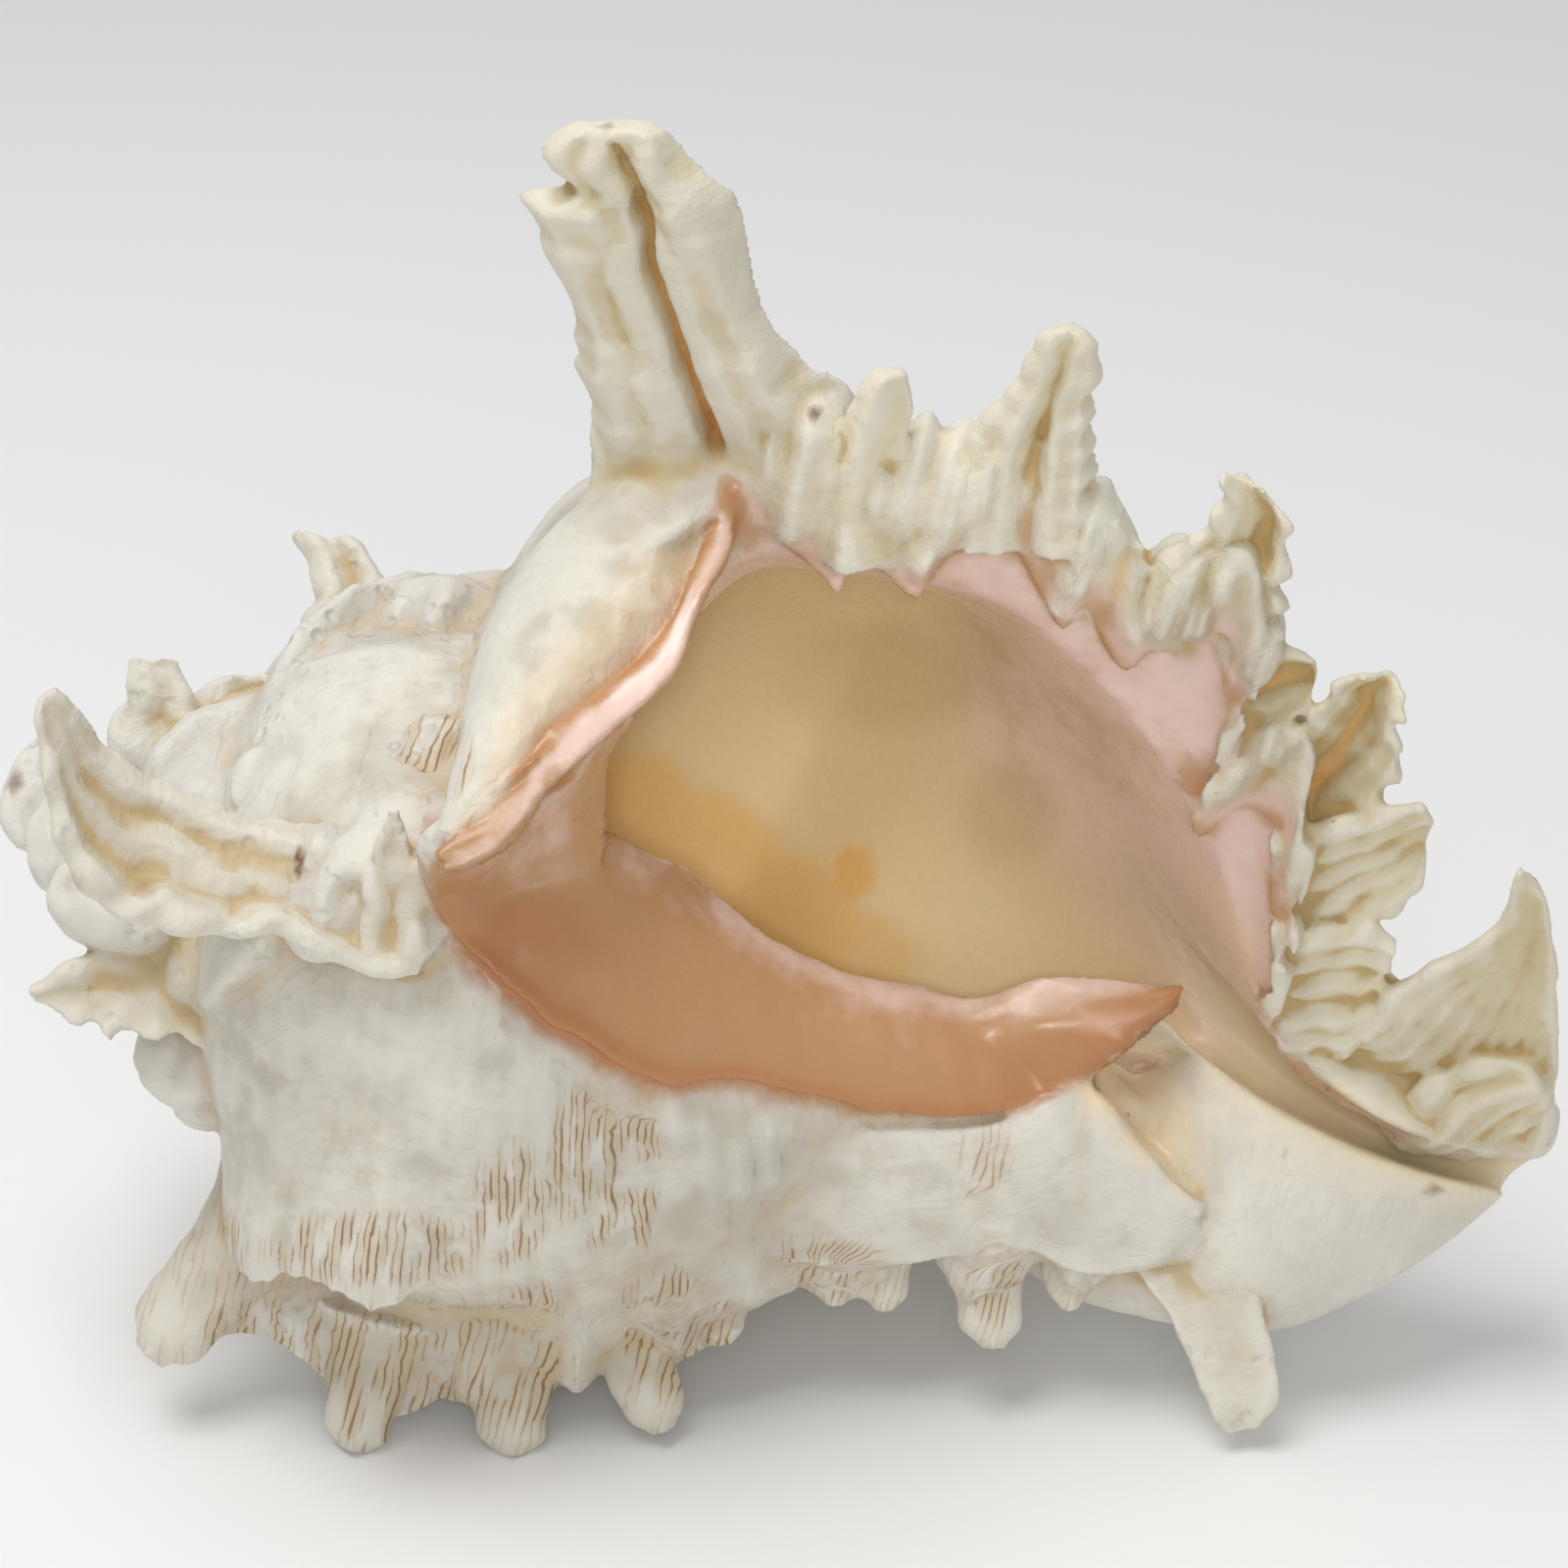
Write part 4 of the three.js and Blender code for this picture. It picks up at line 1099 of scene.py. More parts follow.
def leaf(name, left, right, ahead, groove, seed, depth, rolled=0, ruffle=(0.3, 0.3), fold=6, ridges=0,
         stacked=0, sunk=0, belly=0.5, tint=1, **values):
    """A grooved leaf between two edges: which way its groove faces, how it is folded and what it is."""
    rows, columns = len(left), LEAF_COLUMNS
    u = np.linspace(0, 1, rows)[:, None]
    t = np.linspace(0, 1, columns)[None, :]
    width = np.linalg.norm(right - left, axis=1)[:, None]
    g = groove[:, None]
    is_left = t < g
    x = np.where(is_left, (g - t) / g, (t - g) / (1 - g))
    trough = np.interp(x, *zip(*TROUGH)) * np.minimum(depth, width * 0.4)
    pipe = np.interp(x, *zip(*PIPE)) * width * 0.5
    w = lerp(trough, pipe, rolled)

    length = np.linalg.norm(np.diff((left + right) / 2, axis=0), axis=1).sum()
    half = np.where(is_left, 0.0, HALF_APART) + 0 * u
    run = u * length - FOLD_LEAN * x * width / 2
    grid = np.stack([run, 0.3 * x * width, half], -1).reshape(-1, 3)
    drift = lumps(grid, DRIFT_SIZE * fold, seed).reshape(rows, columns)
    wave = np.sin(2 * math.pi * run / fold + FOLD_DRIFT * drift + half)
    wave = np.sign(wave) * np.abs(wave) ** 0.8 * (0.7 + 0.3 * drift)
    step = (u * length / fold + 0.1 * drift) % 1
    wave = lerp(wave, 2 * step * (1 - smooth(step, 0.86, 1)) - 1, stacked)
    fine = lumps(grid, 0.45 * fold, seed + 1).reshape(rows, columns)
    strength = np.where(is_left, *ruffle) * np.minimum(fold, LONGEST_FOLD)
    grown = lerp(ROOT_RELIEF, 1, smooth(u, 0, ROOT_LENGTH))
    w = w + grown * strength * (FOLD_HEIGHT * x**1.1 * wave + FINE_HEIGHT * fine)
    if ridges:
        places = np.stack(np.broadcast_arrays(u * length, t * width, 0 * t), -1)
        wander = lumps(places.reshape(-1, 3), WANDER_SIZE, seed + 2)
        across = t * ridges + RIDGE_WANDER * wander.reshape(rows, columns)
        crest = (1 - np.abs(2 * (across % 1) - 1)) ** RIDGE_SHARP
        w = w + grown * np.minimum(RIDGE_TALLEST, RIDGE_HEIGHT * width / ridges) * (crest - 0.6)
    w = w - sunk * (1 - smooth(u, 0, ROOT_LENGTH))
    side = (right - left) / width
    spread = strength * FOLD_HEIGHT * x**3 * np.where(is_left, -1, 1) * wave * (1 - stacked)
    flat = left[:, None] + (right - left)[:, None] * t[..., None] + side[:, None] * spread[..., None]

    way = np.gradient((left + right) / 2, axis=0)
    way /= np.linalg.norm(way, axis=1)[:, None]
    places = np.stack([t * width[-1] + 0 * u, 0 * x, 0 * x + seed], -1)
    ragged = lumps(places.reshape(-1, 3), RAGGED_SIZE, seed + 3)
    longest = min(RAGGED_MOST, length * RAGGED_SHARE)
    tip = smooth(u, TIP_FROM, 1) * ragged.reshape(rows, columns) * longest * max(ruffle)
    flat = flat + way[:, None] * tip[..., None]
    front = flat + ahead[:, None] * w[..., None]
    round_back = np.sqrt(np.maximum(0, 1 - (2 * t - 1) ** 2))
    thin_back = w - LEAF_THICK * (0.5 + 0.5 * round_back)
    under = np.minimum(thin_back, -belly * width * 0.5 * round_back - 0.6)
    back = flat + ahead[:, None] * under[..., None]
    line = np.exp(-(x / lerp(*GROOVE_LINE, rolled)) ** 2)
    place = {"share": t * width * THREAD_PITCH, "turn": u * length * TURN_PER_MM, "frond": 0.45 + 0.55 * u}
    place.update(values)
    mark(front, back, groove=tint * line * (1 - 0.5 * u), **place)
    mark(back, front, **place)
    return closed_sheet(name, front, back)


def dome(name, middle, ahead, half_width, half_length, height, **values):
    """A rounded knob with faint furrows that stands on a surface facing ahead."""
    side = np.cross((0, 0, 1), ahead)
    side /= np.linalg.norm(side)
    up = np.cross(ahead, side)
    around = np.linspace(0, 2 * math.pi, DOME_COLUMNS)[None, :, None]
    rise = np.linspace(0.02, 1, DOME_ROWS)[:, None, None]
    flat = middle + side * half_width * rise * np.cos(around) + up * half_length * rise * np.sin(around)
    furrows = FURROWS * np.cos(3 * math.pi * rise * np.cos(around) + middle[0]) * (1 - rise**2)
    front = flat + ahead * (np.sqrt(1 - rise**2) + furrows - 0.6) * height
    bumps = sum(share * lumps(flat.reshape(-1, 3), size, seed=14) for size, share in KNOB_BUMPS)
    front = front + ahead * bumps.reshape(*flat.shape[:2], 1)
    back = flat - ahead * (height + 1.5)
    across, upward = (rise * np.cos(around))[..., 0], (rise * np.sin(around))[..., 0]
    place = {"share": 0.3 + across * half_width * THREAD_PITCH, "turn": upward * half_length}
    mark(front, back, **{**place, **values})
    return closed_sheet(name, front, back)


def pleats():
    ahead = spot(0, 1, LIP_ANGLE + 90)
    return [dome("pleat", seen_on(x, y, LIP_ANGLE), ahead, *size, frond=0.5) for x, y, *size in PLEATS]


def knobs():
    ahead = np.array(KNOB_FACING) / np.linalg.norm(KNOB_FACING)
    return [dome("knob", seen_at(x, y, depth), ahead, *size, chalk=0.8) for x, y, depth, *size in KNOBS]


def lip_fronds():
    made = []
    for i, frond in enumerate(LIP_FRONDS):
        form = dict(frond)
        angle = form.pop("angle")
        t = flowing(form.pop("rows"), np.linspace(0, 1, FROND_ROWS))
        left, right, bed = (seen_on(t[:, k], t[:, k + 1], angle) for k in (0, 2, 4))
        across = right - left
        groove = np.clip(((bed - left) * across).sum(1) / (across**2).sum(1), 0.2, 0.8)
        ahead = np.broadcast_to(spot(0, 1, angle + 90), left.shape)
        made.append(leaf("lip_frond", left, right, ahead, groove, FROND_SEED + LEAF_SEEDS * i, **form))
    return made


def blades():
    made = []
    for i, blade in enumerate(SPIRE_BLADES):
        form = dict(blade)
        facing = np.array(form.pop("facing"), float)
        left, right = sheet_edges(form.pop("rows"), BLADE_ROWS)
        ahead = np.broadcast_to(facing / np.linalg.norm(facing), left.shape)
        groove = np.full(len(left), 0.5)
        form.update(belly=0.8, chalk=0.5, frond=0.35)
        made.append(leaf("blade", left, right, ahead, groove, BLADE_SEED + LEAF_SEEDS * i, **form))
    return made


def spine(row, turn, seed):
    root_along, root_out, tip_along, tip_out, root_width, tip_width = row
    angle = LIP_ANGLE + turn
    root = spot(root_along, root_out, angle)
    tip = spot(tip_along, tip_out, angle)
    way = tip - root
    length = np.linalg.norm(way)
    way /= length
    root = root - way * SPINE_ROOT
    ahead = spot(0, 1, angle + 90)
    ahead = ahead - way * (ahead @ way)
    ahead /= np.linalg.norm(ahead)
    side = np.cross(ahead, way)
    u = np.linspace(0, 1, SPINE_ROWS)[:, None]
    web_here = SPINE_WEB * (1 - u) ** 4
    half = root_width * web_here + lerp(root_width * 1.1, tip_width, u**0.7) / 2
    half = half * np.sqrt(np.maximum(SPINE_BLUNT, 1 - smooth(u, *SPINE_TIP)))
    bow = length * SPINE_BOW * np.sin(math.pi * u)
    middle = root + way * (length + SPINE_ROOT) * u + side * bow
    left, right = middle - side * half, middle + side * half
    along = lerp(left[:, :1], right[:, :1], np.linspace(0, 1, LEAF_COLUMNS)[None, :])
    facing = np.broadcast_to(ahead, middle.shape)
    groove = np.full(len(middle), 0.5)
    return leaf("spine", left, right, facing, groove, seed, root_width * SPINE_TROUGH, ruffle=(0.15, 0.15),
                belly=0.7, tint=0.2, thread=0.35, frond=0.2 * u, share=along * THREAD_PITCH)


def back_spine(row):
    """The same spine on the varix before the lip, which is larger and out of sight behind the shell."""
    stretch = lerp(BACK_SPINE_SCALE, 1, smooth(row[0], *BACK_SPINE_STRETCH))
    root_along, tip_along = row[0] * stretch, row[2] * stretch
    root_out = max(row[1] * BACK_SPINE_SCALE, surface_out(root_along, VARIX_TURNS[1]))
    tip_out = max(row[3] * BACK_SPINE_SCALE, root_out + BACK_SPINE_SHORTEST)
    root_width, tip_width = row[4] * BACK_SPINE_SCALE, row[5] * BACK_SPINE_SCALE
    return root_along, root_out, tip_along, tip_out, root_width, tip_width


def spines():
    made = []
    for i, row in enumerate(FRINGE_SPINES):
        made.append(spine(row, VARIX_TURNS[2], FRINGE_SEED + i))
        made.append(spine(back_spine(row), VARIX_TURNS[1], BACK_SEED + i))
    for varix, rows in SPIRE_SPINES.items():
        for i, row in enumerate(rows):
            seed = SPIRE_SEED + SPIRE_SEED_STEP * varix + i
            made.append(spine(row, VARIX_TURNS[varix], seed))
    return made


# The whole shell

def surface_marks(points, normals):
    """What the surface is at each place, from the nearest marks that face the same way, the whorls' last."""
    result = np.zeros((len(points), len(MARKS)))
    todo = np.ones(len(points), bool)
    for first in (True, False):
        chosen = [m for m in marks if m[3] == first]
        places, facing, values = (np.concatenate([m[k] for m in chosen]) for k in range(3))
        tree = KDTree(len(places))
        for i, place in enumerate(places):
            tree.insert(place, i)
        tree.balance()
        for i in np.flatnonzero(todo):
            found = tree.find_n(points[i], NEAREST_MARKS)
            near = np.array([f[1] for f in found])
            far = np.array([f[2] for f in found])
            fits = far < 2 * far[0] + 0.1
            if first:
                agreeing = facing[near] @ normals[i]
                fits = (agreeing > MARK_TURN) & (far < MARK_REACH)
                if not fits.any():
                    fits = (agreeing > -RIM_TURN) & (far < RIM_REACH)
            if fits.any():
                weights = 1 / (far[fits] + 0.05) ** 2
                result[i] = weights @ values[near[fits]] / weights.sum()
                todo[i] = False
    return result


def mesh_values(piece, name):
    """The places or the normals of a piece's vertices."""
    values = np.empty(len(piece.data.vertices) * 3)
    piece.data.vertices.foreach_get(name, values)
    return values.reshape(-1, 3)


def mesh_points(piece):
    return mesh_values(piece, "co")


def mesh_normals(piece):
    return mesh_values(piece, "normal")


def set_points(piece, points):
    piece.data.vertices.foreach_set("co", np.ascontiguousarray(points, float).reshape(-1))
    piece.data.update()


def rest_pose():
    roll = Matrix.Rotation(math.radians(180 - DOWN_ANGLE), 4, "X")
    dip = Matrix.Rotation(math.radians(CANAL_DIP), 4, "Y")
    turn = Matrix.Rotation(math.radians(VIEW_TURN), 4, "Z")
    return Matrix.Translation((*SHIFT, FLOOR_DROP)) @ turn @ dip @ roll


def shell_surface():
    body = joined([whorls(), horn("canal", CANAL)])
    finished(body, "REMESH", mode="VOXEL", voxel_size=BODY_VOXEL)
    for tool in (hollow(), slit()):
        finished(body, "BOOLEAN", operation="DIFFERENCE", object=tool, solver="MANIFOLD")
        bpy.data.objects.remove(tool)
    lip = [callus(), lip_rim(), lip_collar(), lip_roll(), lip_ribbon(), corner_wall()]
    lip += [*lip_fronds(), *pleats()]
    below = [horn("old_canal", OLD_CANAL), old_flap(), fringe_web()]
    shell = joined([body, *below, *lip, *spines(), *blades(), *knobs()])
    shell.name = "shell_surface"
    finished(shell, "REMESH", mode="VOXEL", voxel_size=VOXEL)
    finished(shell, "SMOOTH", factor=SMOOTH_FACTOR, iterations=SMOOTH_ROUNDS)
    count = sum(len(p.vertices) - 2 for p in shell.data.polygons)
    finished(shell, "DECIMATE", ratio=min(1, TRIANGLES / count))
    return shell


def averaged(piece, values, rounds):
    """Values at the vertices, each averaged with its neighbours' over and over."""
    edges = np.empty(len(piece.data.edges) * 2, int)
    piece.data.edges.foreach_get("vertices", edges)
    a, b = edges.reshape(-1, 2).T
    size = len(values)
    count = np.bincount(a, minlength=size) + np.bincount(b, minlength=size)
    for _ in range(rounds):
        total = np.zeros_like(values)
        for k in range(values.shape[1]):
            total[:, k] = np.bincount(a, values[b, k], size) + np.bincount(b, values[a, k], size)
        values = 0.5 * values + 0.5 * total / count[:, None]
    return values


def patches(points, normals, table, even=PATCH_EVEN):
    """How strongly each place that faces the front lies in one of the patches traced in the photo."""
    x, y = photo_point(points)
    total = np.zeros(len(points))
    for middle_x, middle_y, half_width, half_height, strength in table:
        far = np.hypot((x - middle_x) / half_width, (y - middle_y) / half_height)
        total = np.maximum(total, strength * (1 - smooth(far, even, PATCH_ENDS)))
    return total * smooth(-normals[:, 1], -0.1, 0.2)


def weathered(shell, points, normals, column):
    """The surface with its glazed places made smooth and its worn ones rough."""
    plain = column["glaze"] * (1 - smooth(column["edge"], 0.2, 0.5))
    soft = np.maximum(np.maximum(plain, column["deep"]), patches(points, normals, SOFT_PATCHES))
    points = lerp(points, averaged(shell, points, SOFT_ROUNDS), soft[:, None])
    dull = 1 - np.maximum(column["glaze"], column["deep"])
    height = dull * (BODY_GRAIN + CHALK_GRAIN * column["chalk"] + FROND_GRAIN * column["frond"])
    grain = sum(share * lumps(points, size, seed=40) for size, share in GRAIN)
    return points + normals * (height * grain)[:, None]


def store_marks(shell):
    points, normals = mesh_points(shell), mesh_normals(shell)
    found = surface_marks(points, normals)
    soft = averaged(shell, found, MARK_ROUNDS)
    column = {name: soft[:, i] for i, name in enumerate(MARKS)}
    column["deep"] = averaged(shell, found, DEEP_ROUNDS)[:, MARKS.index("deep")]
    set_points(shell, weathered(shell, points, normals, column))
    points, normals = mesh_points(shell), mesh_normals(shell)
    glazed = patches(points, normals, GLAZE_PATCHES) * (1 - column["deep"])
    column["glaze"] = np.maximum(column["glaze"], glazed)
    column["edge"] = np.maximum(column["edge"], GLAZE_WARMTH * glazed)
    column["thread"] = np.maximum(column["thread"], patches(points, normals, THREAD_PATCHES))
    column["stain"] = patches(points, normals, STAINS)
    column["amber"] = patches(points, normals, AMBER_PATCHES, AMBER_EVEN)
    # Painted shade in the mouth and in the hollow by the canal
    column["painted_shade"] = patches(points, normals, PAINTED_SHADE_PATCHES)
    # The hollow by the canal is painted with the inside's tan as shade
    canal_hollow_shade = patches(points, normals, CANAL_HOLLOW_SHADE_PATCHES) * (1 - column["glaze"])
    column["deep"] = np.maximum(column["deep"], canal_hollow_shade)
    hollowness = ((averaged(shell, points, DIP_ROUNDS) - points) * normals).sum(1)
    column["dip"] = np.clip(hollowness / DIP_DEPTH, -1, 1)
    column["steady"] = 1 - smooth(np.abs(found - soft)[:, 0], *STEADY_TURNS)
    for name, parts in ZONES.items():
        layer = shell.data.attributes.new(name, "FLOAT_VECTOR", "POINT")
        layer.data.foreach_set("vector", np.stack([column[p] for p in parts], -1).reshape(-1))


# Materials

def node_group(name, inputs, outputs):
    """A shader node group with its sockets, given as name and kind."""
    group = bpy.data.node_groups.new(name, "ShaderNodeTree")
    for socket, kind in inputs:
        group.interface.new_socket(socket, in_out="INPUT", socket_type="NodeSocket" + kind)
    for socket, kind in outputs:
        group.interface.new_socket(socket, in_out="OUTPUT", socket_type="NodeSocket" + kind)
    given, out = group.nodes.new("NodeGroupInput"), group.nodes.new("NodeGroupOutput")
    return Wiring(group), given.outputs, out.inputs


class Wiring:
    """Short ways to put nodes into a tree; a value may be a number, a colour or another node's output."""

    def __init__(self, tree):
        self.tree = tree

    def put(self, value, socket):
        if isinstance(value, bpy.types.NodeSocket):
            self.tree.links.new(value, socket)
        else:
            is_colour = isinstance(value, tuple) and socket.type == "RGBA"
            socket.default_value = (*value, 1) if is_colour else value

    def node(self, kind, **inputs):
        node = self.tree.nodes.new("ShaderNode" + kind)
        for name, value in inputs.items():
            self.put(value, node.inputs[name.replace("_", " ")])
        return node

    def sum(self, operation, a, b=0.0):
        node = self.tree.nodes.new("ShaderNodeMath")
        node.operation = operation
        self.put(a, node.inputs[0])
        self.put(b, node.inputs[1])
        return node.outputs[0]

    def ramp(self, value, low, high, bottom=0.0, top=1.0):
        node = self.tree.nodes.new("ShaderNodeMapRange")
        node.interpolation_type = "SMOOTHSTEP"
        for socket, number in zip(node.inputs, (value, low, high, bottom, top)):
            self.put(number, socket)
        return node.outputs[0]

    def mix(self, share, a, b):
        node = self.tree.nodes.new("ShaderNodeMix")
        node.data_type = "RGBA"
        self.put(share, node.inputs[0])
        self.put(a, node.inputs[6])
        self.put(b, node.inputs[7])
        return node.outputs[2]

    def vector(self, x, y, z):
        node = self.tree.nodes.new("ShaderNodeCombineXYZ")
        for value, socket in zip((x, y, z), node.inputs):
            self.put(value, socket)
        return node.outputs[0]

    def split(self, vector):
        node = self.tree.nodes.new("ShaderNodeSeparateXYZ")
        self.put(vector, node.inputs[0])
        return node.outputs

    def noise(self, vector, scale, detail=2.0, rough=0.5):
        node = self.node("TexNoise", Vector=vector, Scale=scale, Detail=detail, Roughness=rough)
        return node.outputs["Fac"]

    def attribute(self, name):
        node = self.tree.nodes.new("ShaderNodeAttribute")
        node.attribute_name = name
        return node.outputs["Vector"]

    def group(self, tree, **inputs):
        node = self.tree.nodes.new("ShaderNodeGroup")
        node.node_tree = tree
        for name, value in inputs.items():
            self.put(value, node.inputs[name])
        return node.outputs


def thread_lines():
    """Brown threads: fine broken lines that run with the growth of the shell, and a paler wash round them."""
    inputs = [("Place", "Vector"), ("Amount", "Float")]
    w, given, out = node_group("thread_lines", inputs, [("Mask", "Float"), ("Wash", "Float")])
    turn, share, _ = w.split(given["Place"])
    slow_turn = w.sum("MULTIPLY", turn, 0.06)
    wander = w.noise(w.vector(w.sum("MULTIPLY", share, 30), slow_turn, 0.0), 1.0, 2.0)
    phase = w.sum("ADD", w.sum("MULTIPLY", share, THREADS), w.sum("MULTIPLY", wander, 1.6))
    stripes = w.sum("SINE", w.sum("MULTIPLY", phase, 2 * math.pi))
    broken = w.noise(w.vector(w.sum("MULTIPLY", share, 55), w.sum("MULTIPLY", turn, 0.1), 5.0), 1.0, 2.0)
    shown = w.sum("MULTIPLY", w.ramp(broken, 0.40, 0.58), given["Amount"])
    w.put(w.sum("MULTIPLY", w.ramp(stripes, 0.4, 0.95), shown), out["Mask"])
    w.put(shown, out["Wash"])
    return w.tree


def growth_lines():
    """Lines of growth, across the threads: from 0 to 1."""
    w, given, out = node_group("growth_lines", [("Place", "Vector")], [("Value", "Float")])
    turn, share, _ = w.split(given["Place"])
    stretched = w.vector(w.sum("MULTIPLY", share, 14), w.sum("MULTIPLY", turn, 0.55), 2.0)
    w.put(w.noise(stretched, 1.0, 4.0, 0.6), out["Value"])
    return w.tree


def worn_pits():
    """Pits and stains of a worn, chalky surface: how deep, and how stained."""
    w, given, out = node_group("worn_pits", [("Spot", "Vector")], [("Depth", "Float"), ("Stain", "Float")])
    cells = w.node("TexVoronoi", Vector=given["Spot"], Scale=PITS)
    here = w.noise(given["Spot"], PIT_PLACES, 3.0)
    pits = w.sum("MULTIPLY", w.ramp(cells.outputs["Distance"], 0.45, 0.1), w.ramp(here, 0.5, 0.62))
    w.put(pits, out["Depth"])
    w.put(w.ramp(w.noise(given["Spot"], PIT_STAINS, 6.0, 0.65), 0.5, 0.72), out["Stain"])
    return w.tree


def shell_material():
    material = bpy.data.materials.new("murex_shell")
    material.use_nodes = True
    w = Wiring(material.node_tree)
    shader = material.node_tree.nodes["Principled BSDF"]
    spot_here = w.node("TexCoord").outputs["Object"]
    place = w.attribute("zone_place")
    glaze, edge, deep = w.split(w.attribute("zone_warm"))
    frond, groove, chalk = w.split(w.attribute("zone_shell"))
    thread = w.split(place)[2]
    dip, steady, stain = w.split(w.attribute("zone_form"))
    amber, painted_shade, _ = w.split(w.attribute("zone_tone"))
    hollow_here = w.ramp(dip, 0.1, 1.0)
    crest_here = w.ramp(dip, -0.1, -0.9)
    growth_line = w.sum("MULTIPLY", w.group(growth_lines(), Place=place)["Value"], steady)
    pits = w.group(worn_pits(), Spot=spot_here)
    clouds = w.noise(spot_here, CLOUDS, 5.0, 0.6)
    grain = w.noise(spot_here, FINE_GRAIN, 3.0, 0.6)

    mottle = w.noise(spot_here, MOTTLE, 4.0, 0.6)
    body = w.mix(w.ramp(clouds, 0.3, 0.7), BODY_SHADE, BODY_LIGHT)
    patchy = w.noise(spot_here, PATCHES, 4.0, 0.6)
    body = w.mix(w.ramp(patchy, 0.48, 0.68, 0.0, 0.5), body, PATCH_GREY)
    body = w.mix(w.ramp(mottle, 0.45, 0.7, 0.0, 0.45), body, MOTTLE_GREY)
    body = w.mix(w.ramp(growth_line, 0.45, 0.75, 0.0, 0.45), body, GROWTH_TAN)
    chalky = w.mix(pits["Stain"], CHALK_WHITE, CHALK_STAIN)
    body = w.mix(w.sum("MULTIPLY", chalk, 0.8), body, chalky)
    ruffled = w.mix(w.ramp(clouds, 0.3, 0.7), FROND_SHADE, FROND_LIGHT)
    body = w.mix(frond, body, ruffled)
    # Painted shade: hollows are darkened to brown, most on fronds
    hollow_shade = w.sum("MULTIPLY", hollow_here, w.ramp(frond, 0.0, 0.6, 0.35, 0.85))
    body = w.mix(hollow_shade, body, PAINTED_HOLLOW_SHADE)
    body = w.mix(w.sum("MULTIPLY", crest_here, 0.5), body, CREST_WHITE)
    body = w.mix(w.ramp(groove, 0.2, 0.9, 0.0, 0.9), body, GROOVE_ORANGE)
    threads = w.group(thread_lines(), Place=place, Amount=w.ramp(thread, 0.1, 0.8))
    body = w.mix(w.sum("MULTIPLY", threads["Wash"], 0.45), body, THREAD_WASH)
    lined = w.sum("MULTIPLY", threads["Mask"], w.sum("MULTIPLY", steady, 0.8))
    body = w.mix(lined, body, THREAD_BROWN)
    body = w.mix(stain, body, STAIN_BROWN)

    uneven = w.sum("ADD", w.sum("MULTIPLY", clouds, 1.3), w.sum("MULTIPLY", mottle, 0.5))
    blush = w.ramp(w.sum("ADD", edge, w.sum("SUBTRACT", uneven, 0.9)), 0.05, 0.6)
    pink = w.mix(blush, LIP_PINK, LIP_BLUSH)
    pink = w.mix(w.ramp(edge, 0.55, 1.0), pink, LIP_ORANGE)
    # The inside of the mouth is painted tan and cream as warm shade on a white wall lit through its thin
    # shell, with amber places; then painted shade darkens places of the mouth and the lip
    inside = w.mix(clouds, INSIDE_SHADE_TAN, INSIDE_SHADE_CREAM)
    inside = w.mix(amber, inside, INSIDE_AMBER)
    inside = w.mix(w.sum("MULTIPLY", painted_shade, 0.7), inside, INSIDE_PAINTED_SHADE)
    pink = w.mix(painted_shade, pink, LIP_PAINTED_SHADE)
    body = w.mix(glaze, body, pink)
    body = w.mix(deep, body, inside)
    w.put(body, shader.inputs["Base Color"])

    shiny = w.sum("MAXIMUM", glaze, deep)
    rough = w.ramp(w.sum("ADD", grain, w.sum("MULTIPLY", pits["Depth"], 0.5)), 0.2, 1.0, *ROUGHNESS)
    w.put(w.sum("MULTIPLY", rough, w.ramp(shiny, 0.0, 1.0, 1.0, GLAZE_ROUGHNESS)), shader.inputs["Roughness"])
    relief = w.sum("ADD", w.sum("MULTIPLY", growth_line, 0.4), w.sum("MULTIPLY", grain, 0.25))
    relief = w.sum("ADD", relief, w.sum("MULTIPLY", mottle, 0.6))
    relief = w.sum("SUBTRACT", relief, w.sum("MULTIPLY", pits["Depth"], w.sum("ADD", chalk, 0.15)))
    relief = w.sum("MULTIPLY", relief, w.ramp(shiny, 0.0, 1.0, 1.0, GLAZE_BUMP))
    bump = w.node("Bump", Height=relief, Strength=BUMP_STRENGTH, Distance=BUMP_HEIGHT)
    w.put(bump.outputs["Normal"], shader.inputs["Normal"])
    return material


# Stage

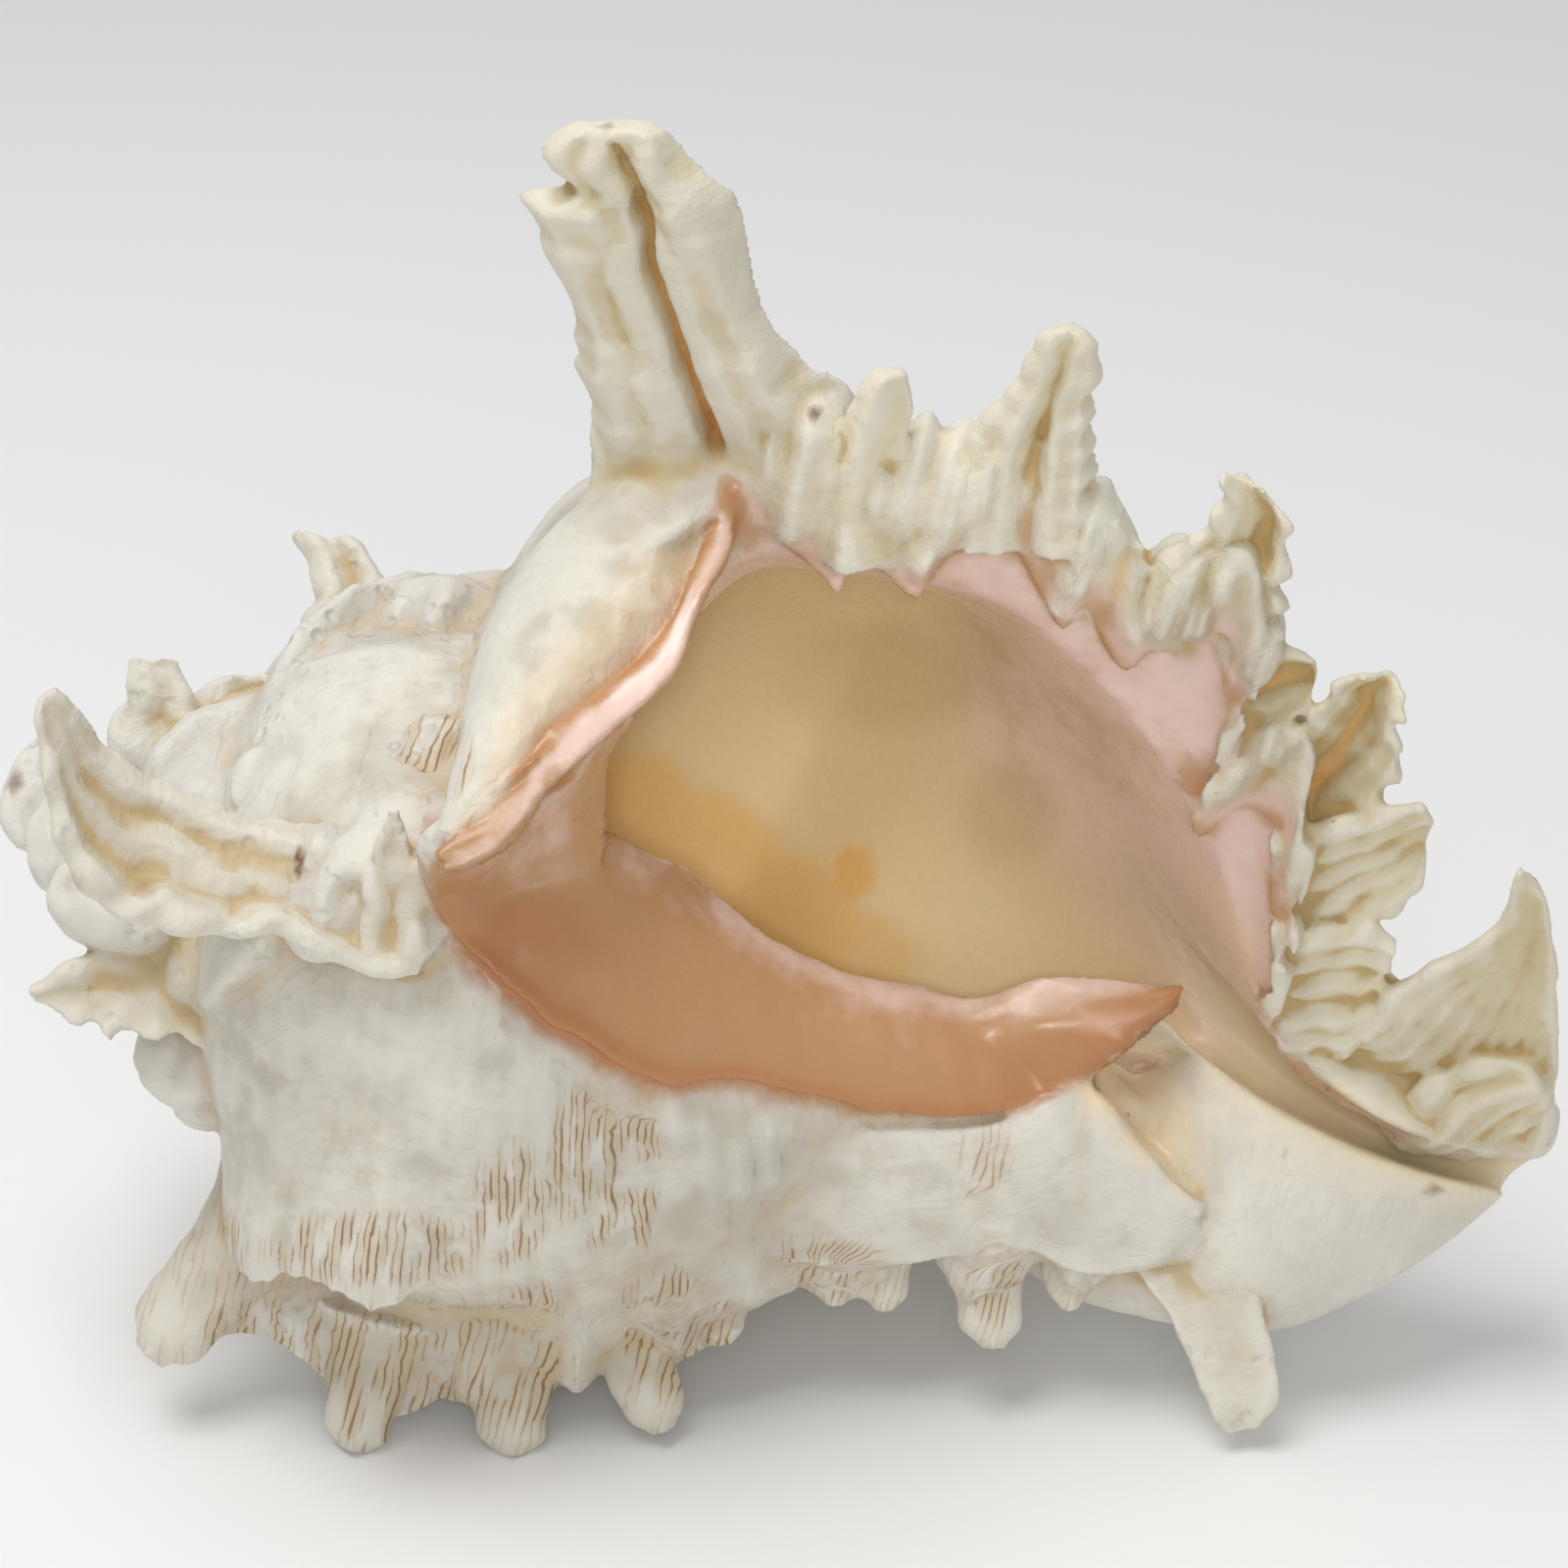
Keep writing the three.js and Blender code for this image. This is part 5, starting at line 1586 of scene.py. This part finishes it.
def floor():
    bpy.ops.object.select_all(action="DESELECT")
    bpy.ops.mesh.primitive_plane_add(size=FLOOR_SIZE)
    plane = bpy.context.object
    plane.name = "floor"
    material = bpy.data.materials.new("pale_floor")
    material.use_nodes = True
    shader = material.node_tree.nodes["Principled BSDF"]
    shader.inputs["Base Color"].default_value = (FLOOR_WHITE, FLOOR_WHITE, FLOOR_WHITE, 1)
    shader.inputs["Roughness"].default_value = 0.9
    plane.data.materials.append(material)


def light(name, place, target, size, power, kind="AREA"):
    data = bpy.data.lights.new(name, kind)
    if kind == "AREA":
        data.shape = "DISK"
        data.size = size
    else:
        data.shadow_soft_size = size / 2
    data.energy = power
    lamp = bpy.data.objects.new(name, data)
    bpy.context.collection.objects.link(lamp)
    lamp.location = place
    lamp.rotation_euler = (Vector(target) - Vector(place)).to_track_quat("-Z", "Y").to_euler()
    return data


def studio():
    world = bpy.data.worlds.new("studio")
    bpy.context.scene.world = world
    world.use_nodes = True
    background = world.node_tree.nodes["Background"].inputs
    background["Color"].default_value = (1, 1, 1, 1)
    background["Strength"].default_value = ROOM_LIGHT
    for name, place, size, power in SOFTBOXES:
        light(name, place, SHELL_MIDDLE, size, power)
    mouth = rest_pose() @ Vector(seen_at(*MOUTH))
    lamp = light("snoot", rest_pose() @ Vector(CAMERA_SPOT) * MM, mouth * MM, SNOOT_SIZE, SNOOT_POWER, "SPOT")
    lamp.spot_size = math.radians(SNOOT_ANGLE)
    lamp.spot_blend = 1
    bpy.context.scene.view_settings.view_transform = "Standard"


def camera():
    pose = rest_pose()
    right, up, away = (Vector(axis) for axis in camera_axes())
    turn = Matrix((right, up, -away)).transposed().to_4x4()
    data = bpy.data.cameras.new("camera")
    data.lens = SENSOR * PHOTO_FOCAL / PHOTO_SIZE
    data.sensor_width = SENSOR
    seen = bpy.data.objects.new("camera", data)
    bpy.context.collection.objects.link(seen)
    place = pose @ Matrix.Translation(CAMERA_SPOT) @ turn
    place.translation *= MM
    seen.matrix_world = place
    bpy.context.scene.camera = seen


shell = shell_surface()
store_marks(shell)
points = np.array([(rest_pose() @ Vector(p)) for p in mesh_points(shell)]) * MM
points[:, 2] = np.maximum(points[:, 2], 0)
set_points(shell, points)
bpy.ops.object.shade_smooth()
shell.data.materials.clear()
shell.data.materials.append(shell_material())
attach(shell, "root")
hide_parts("shell")

floor()
studio()
camera()
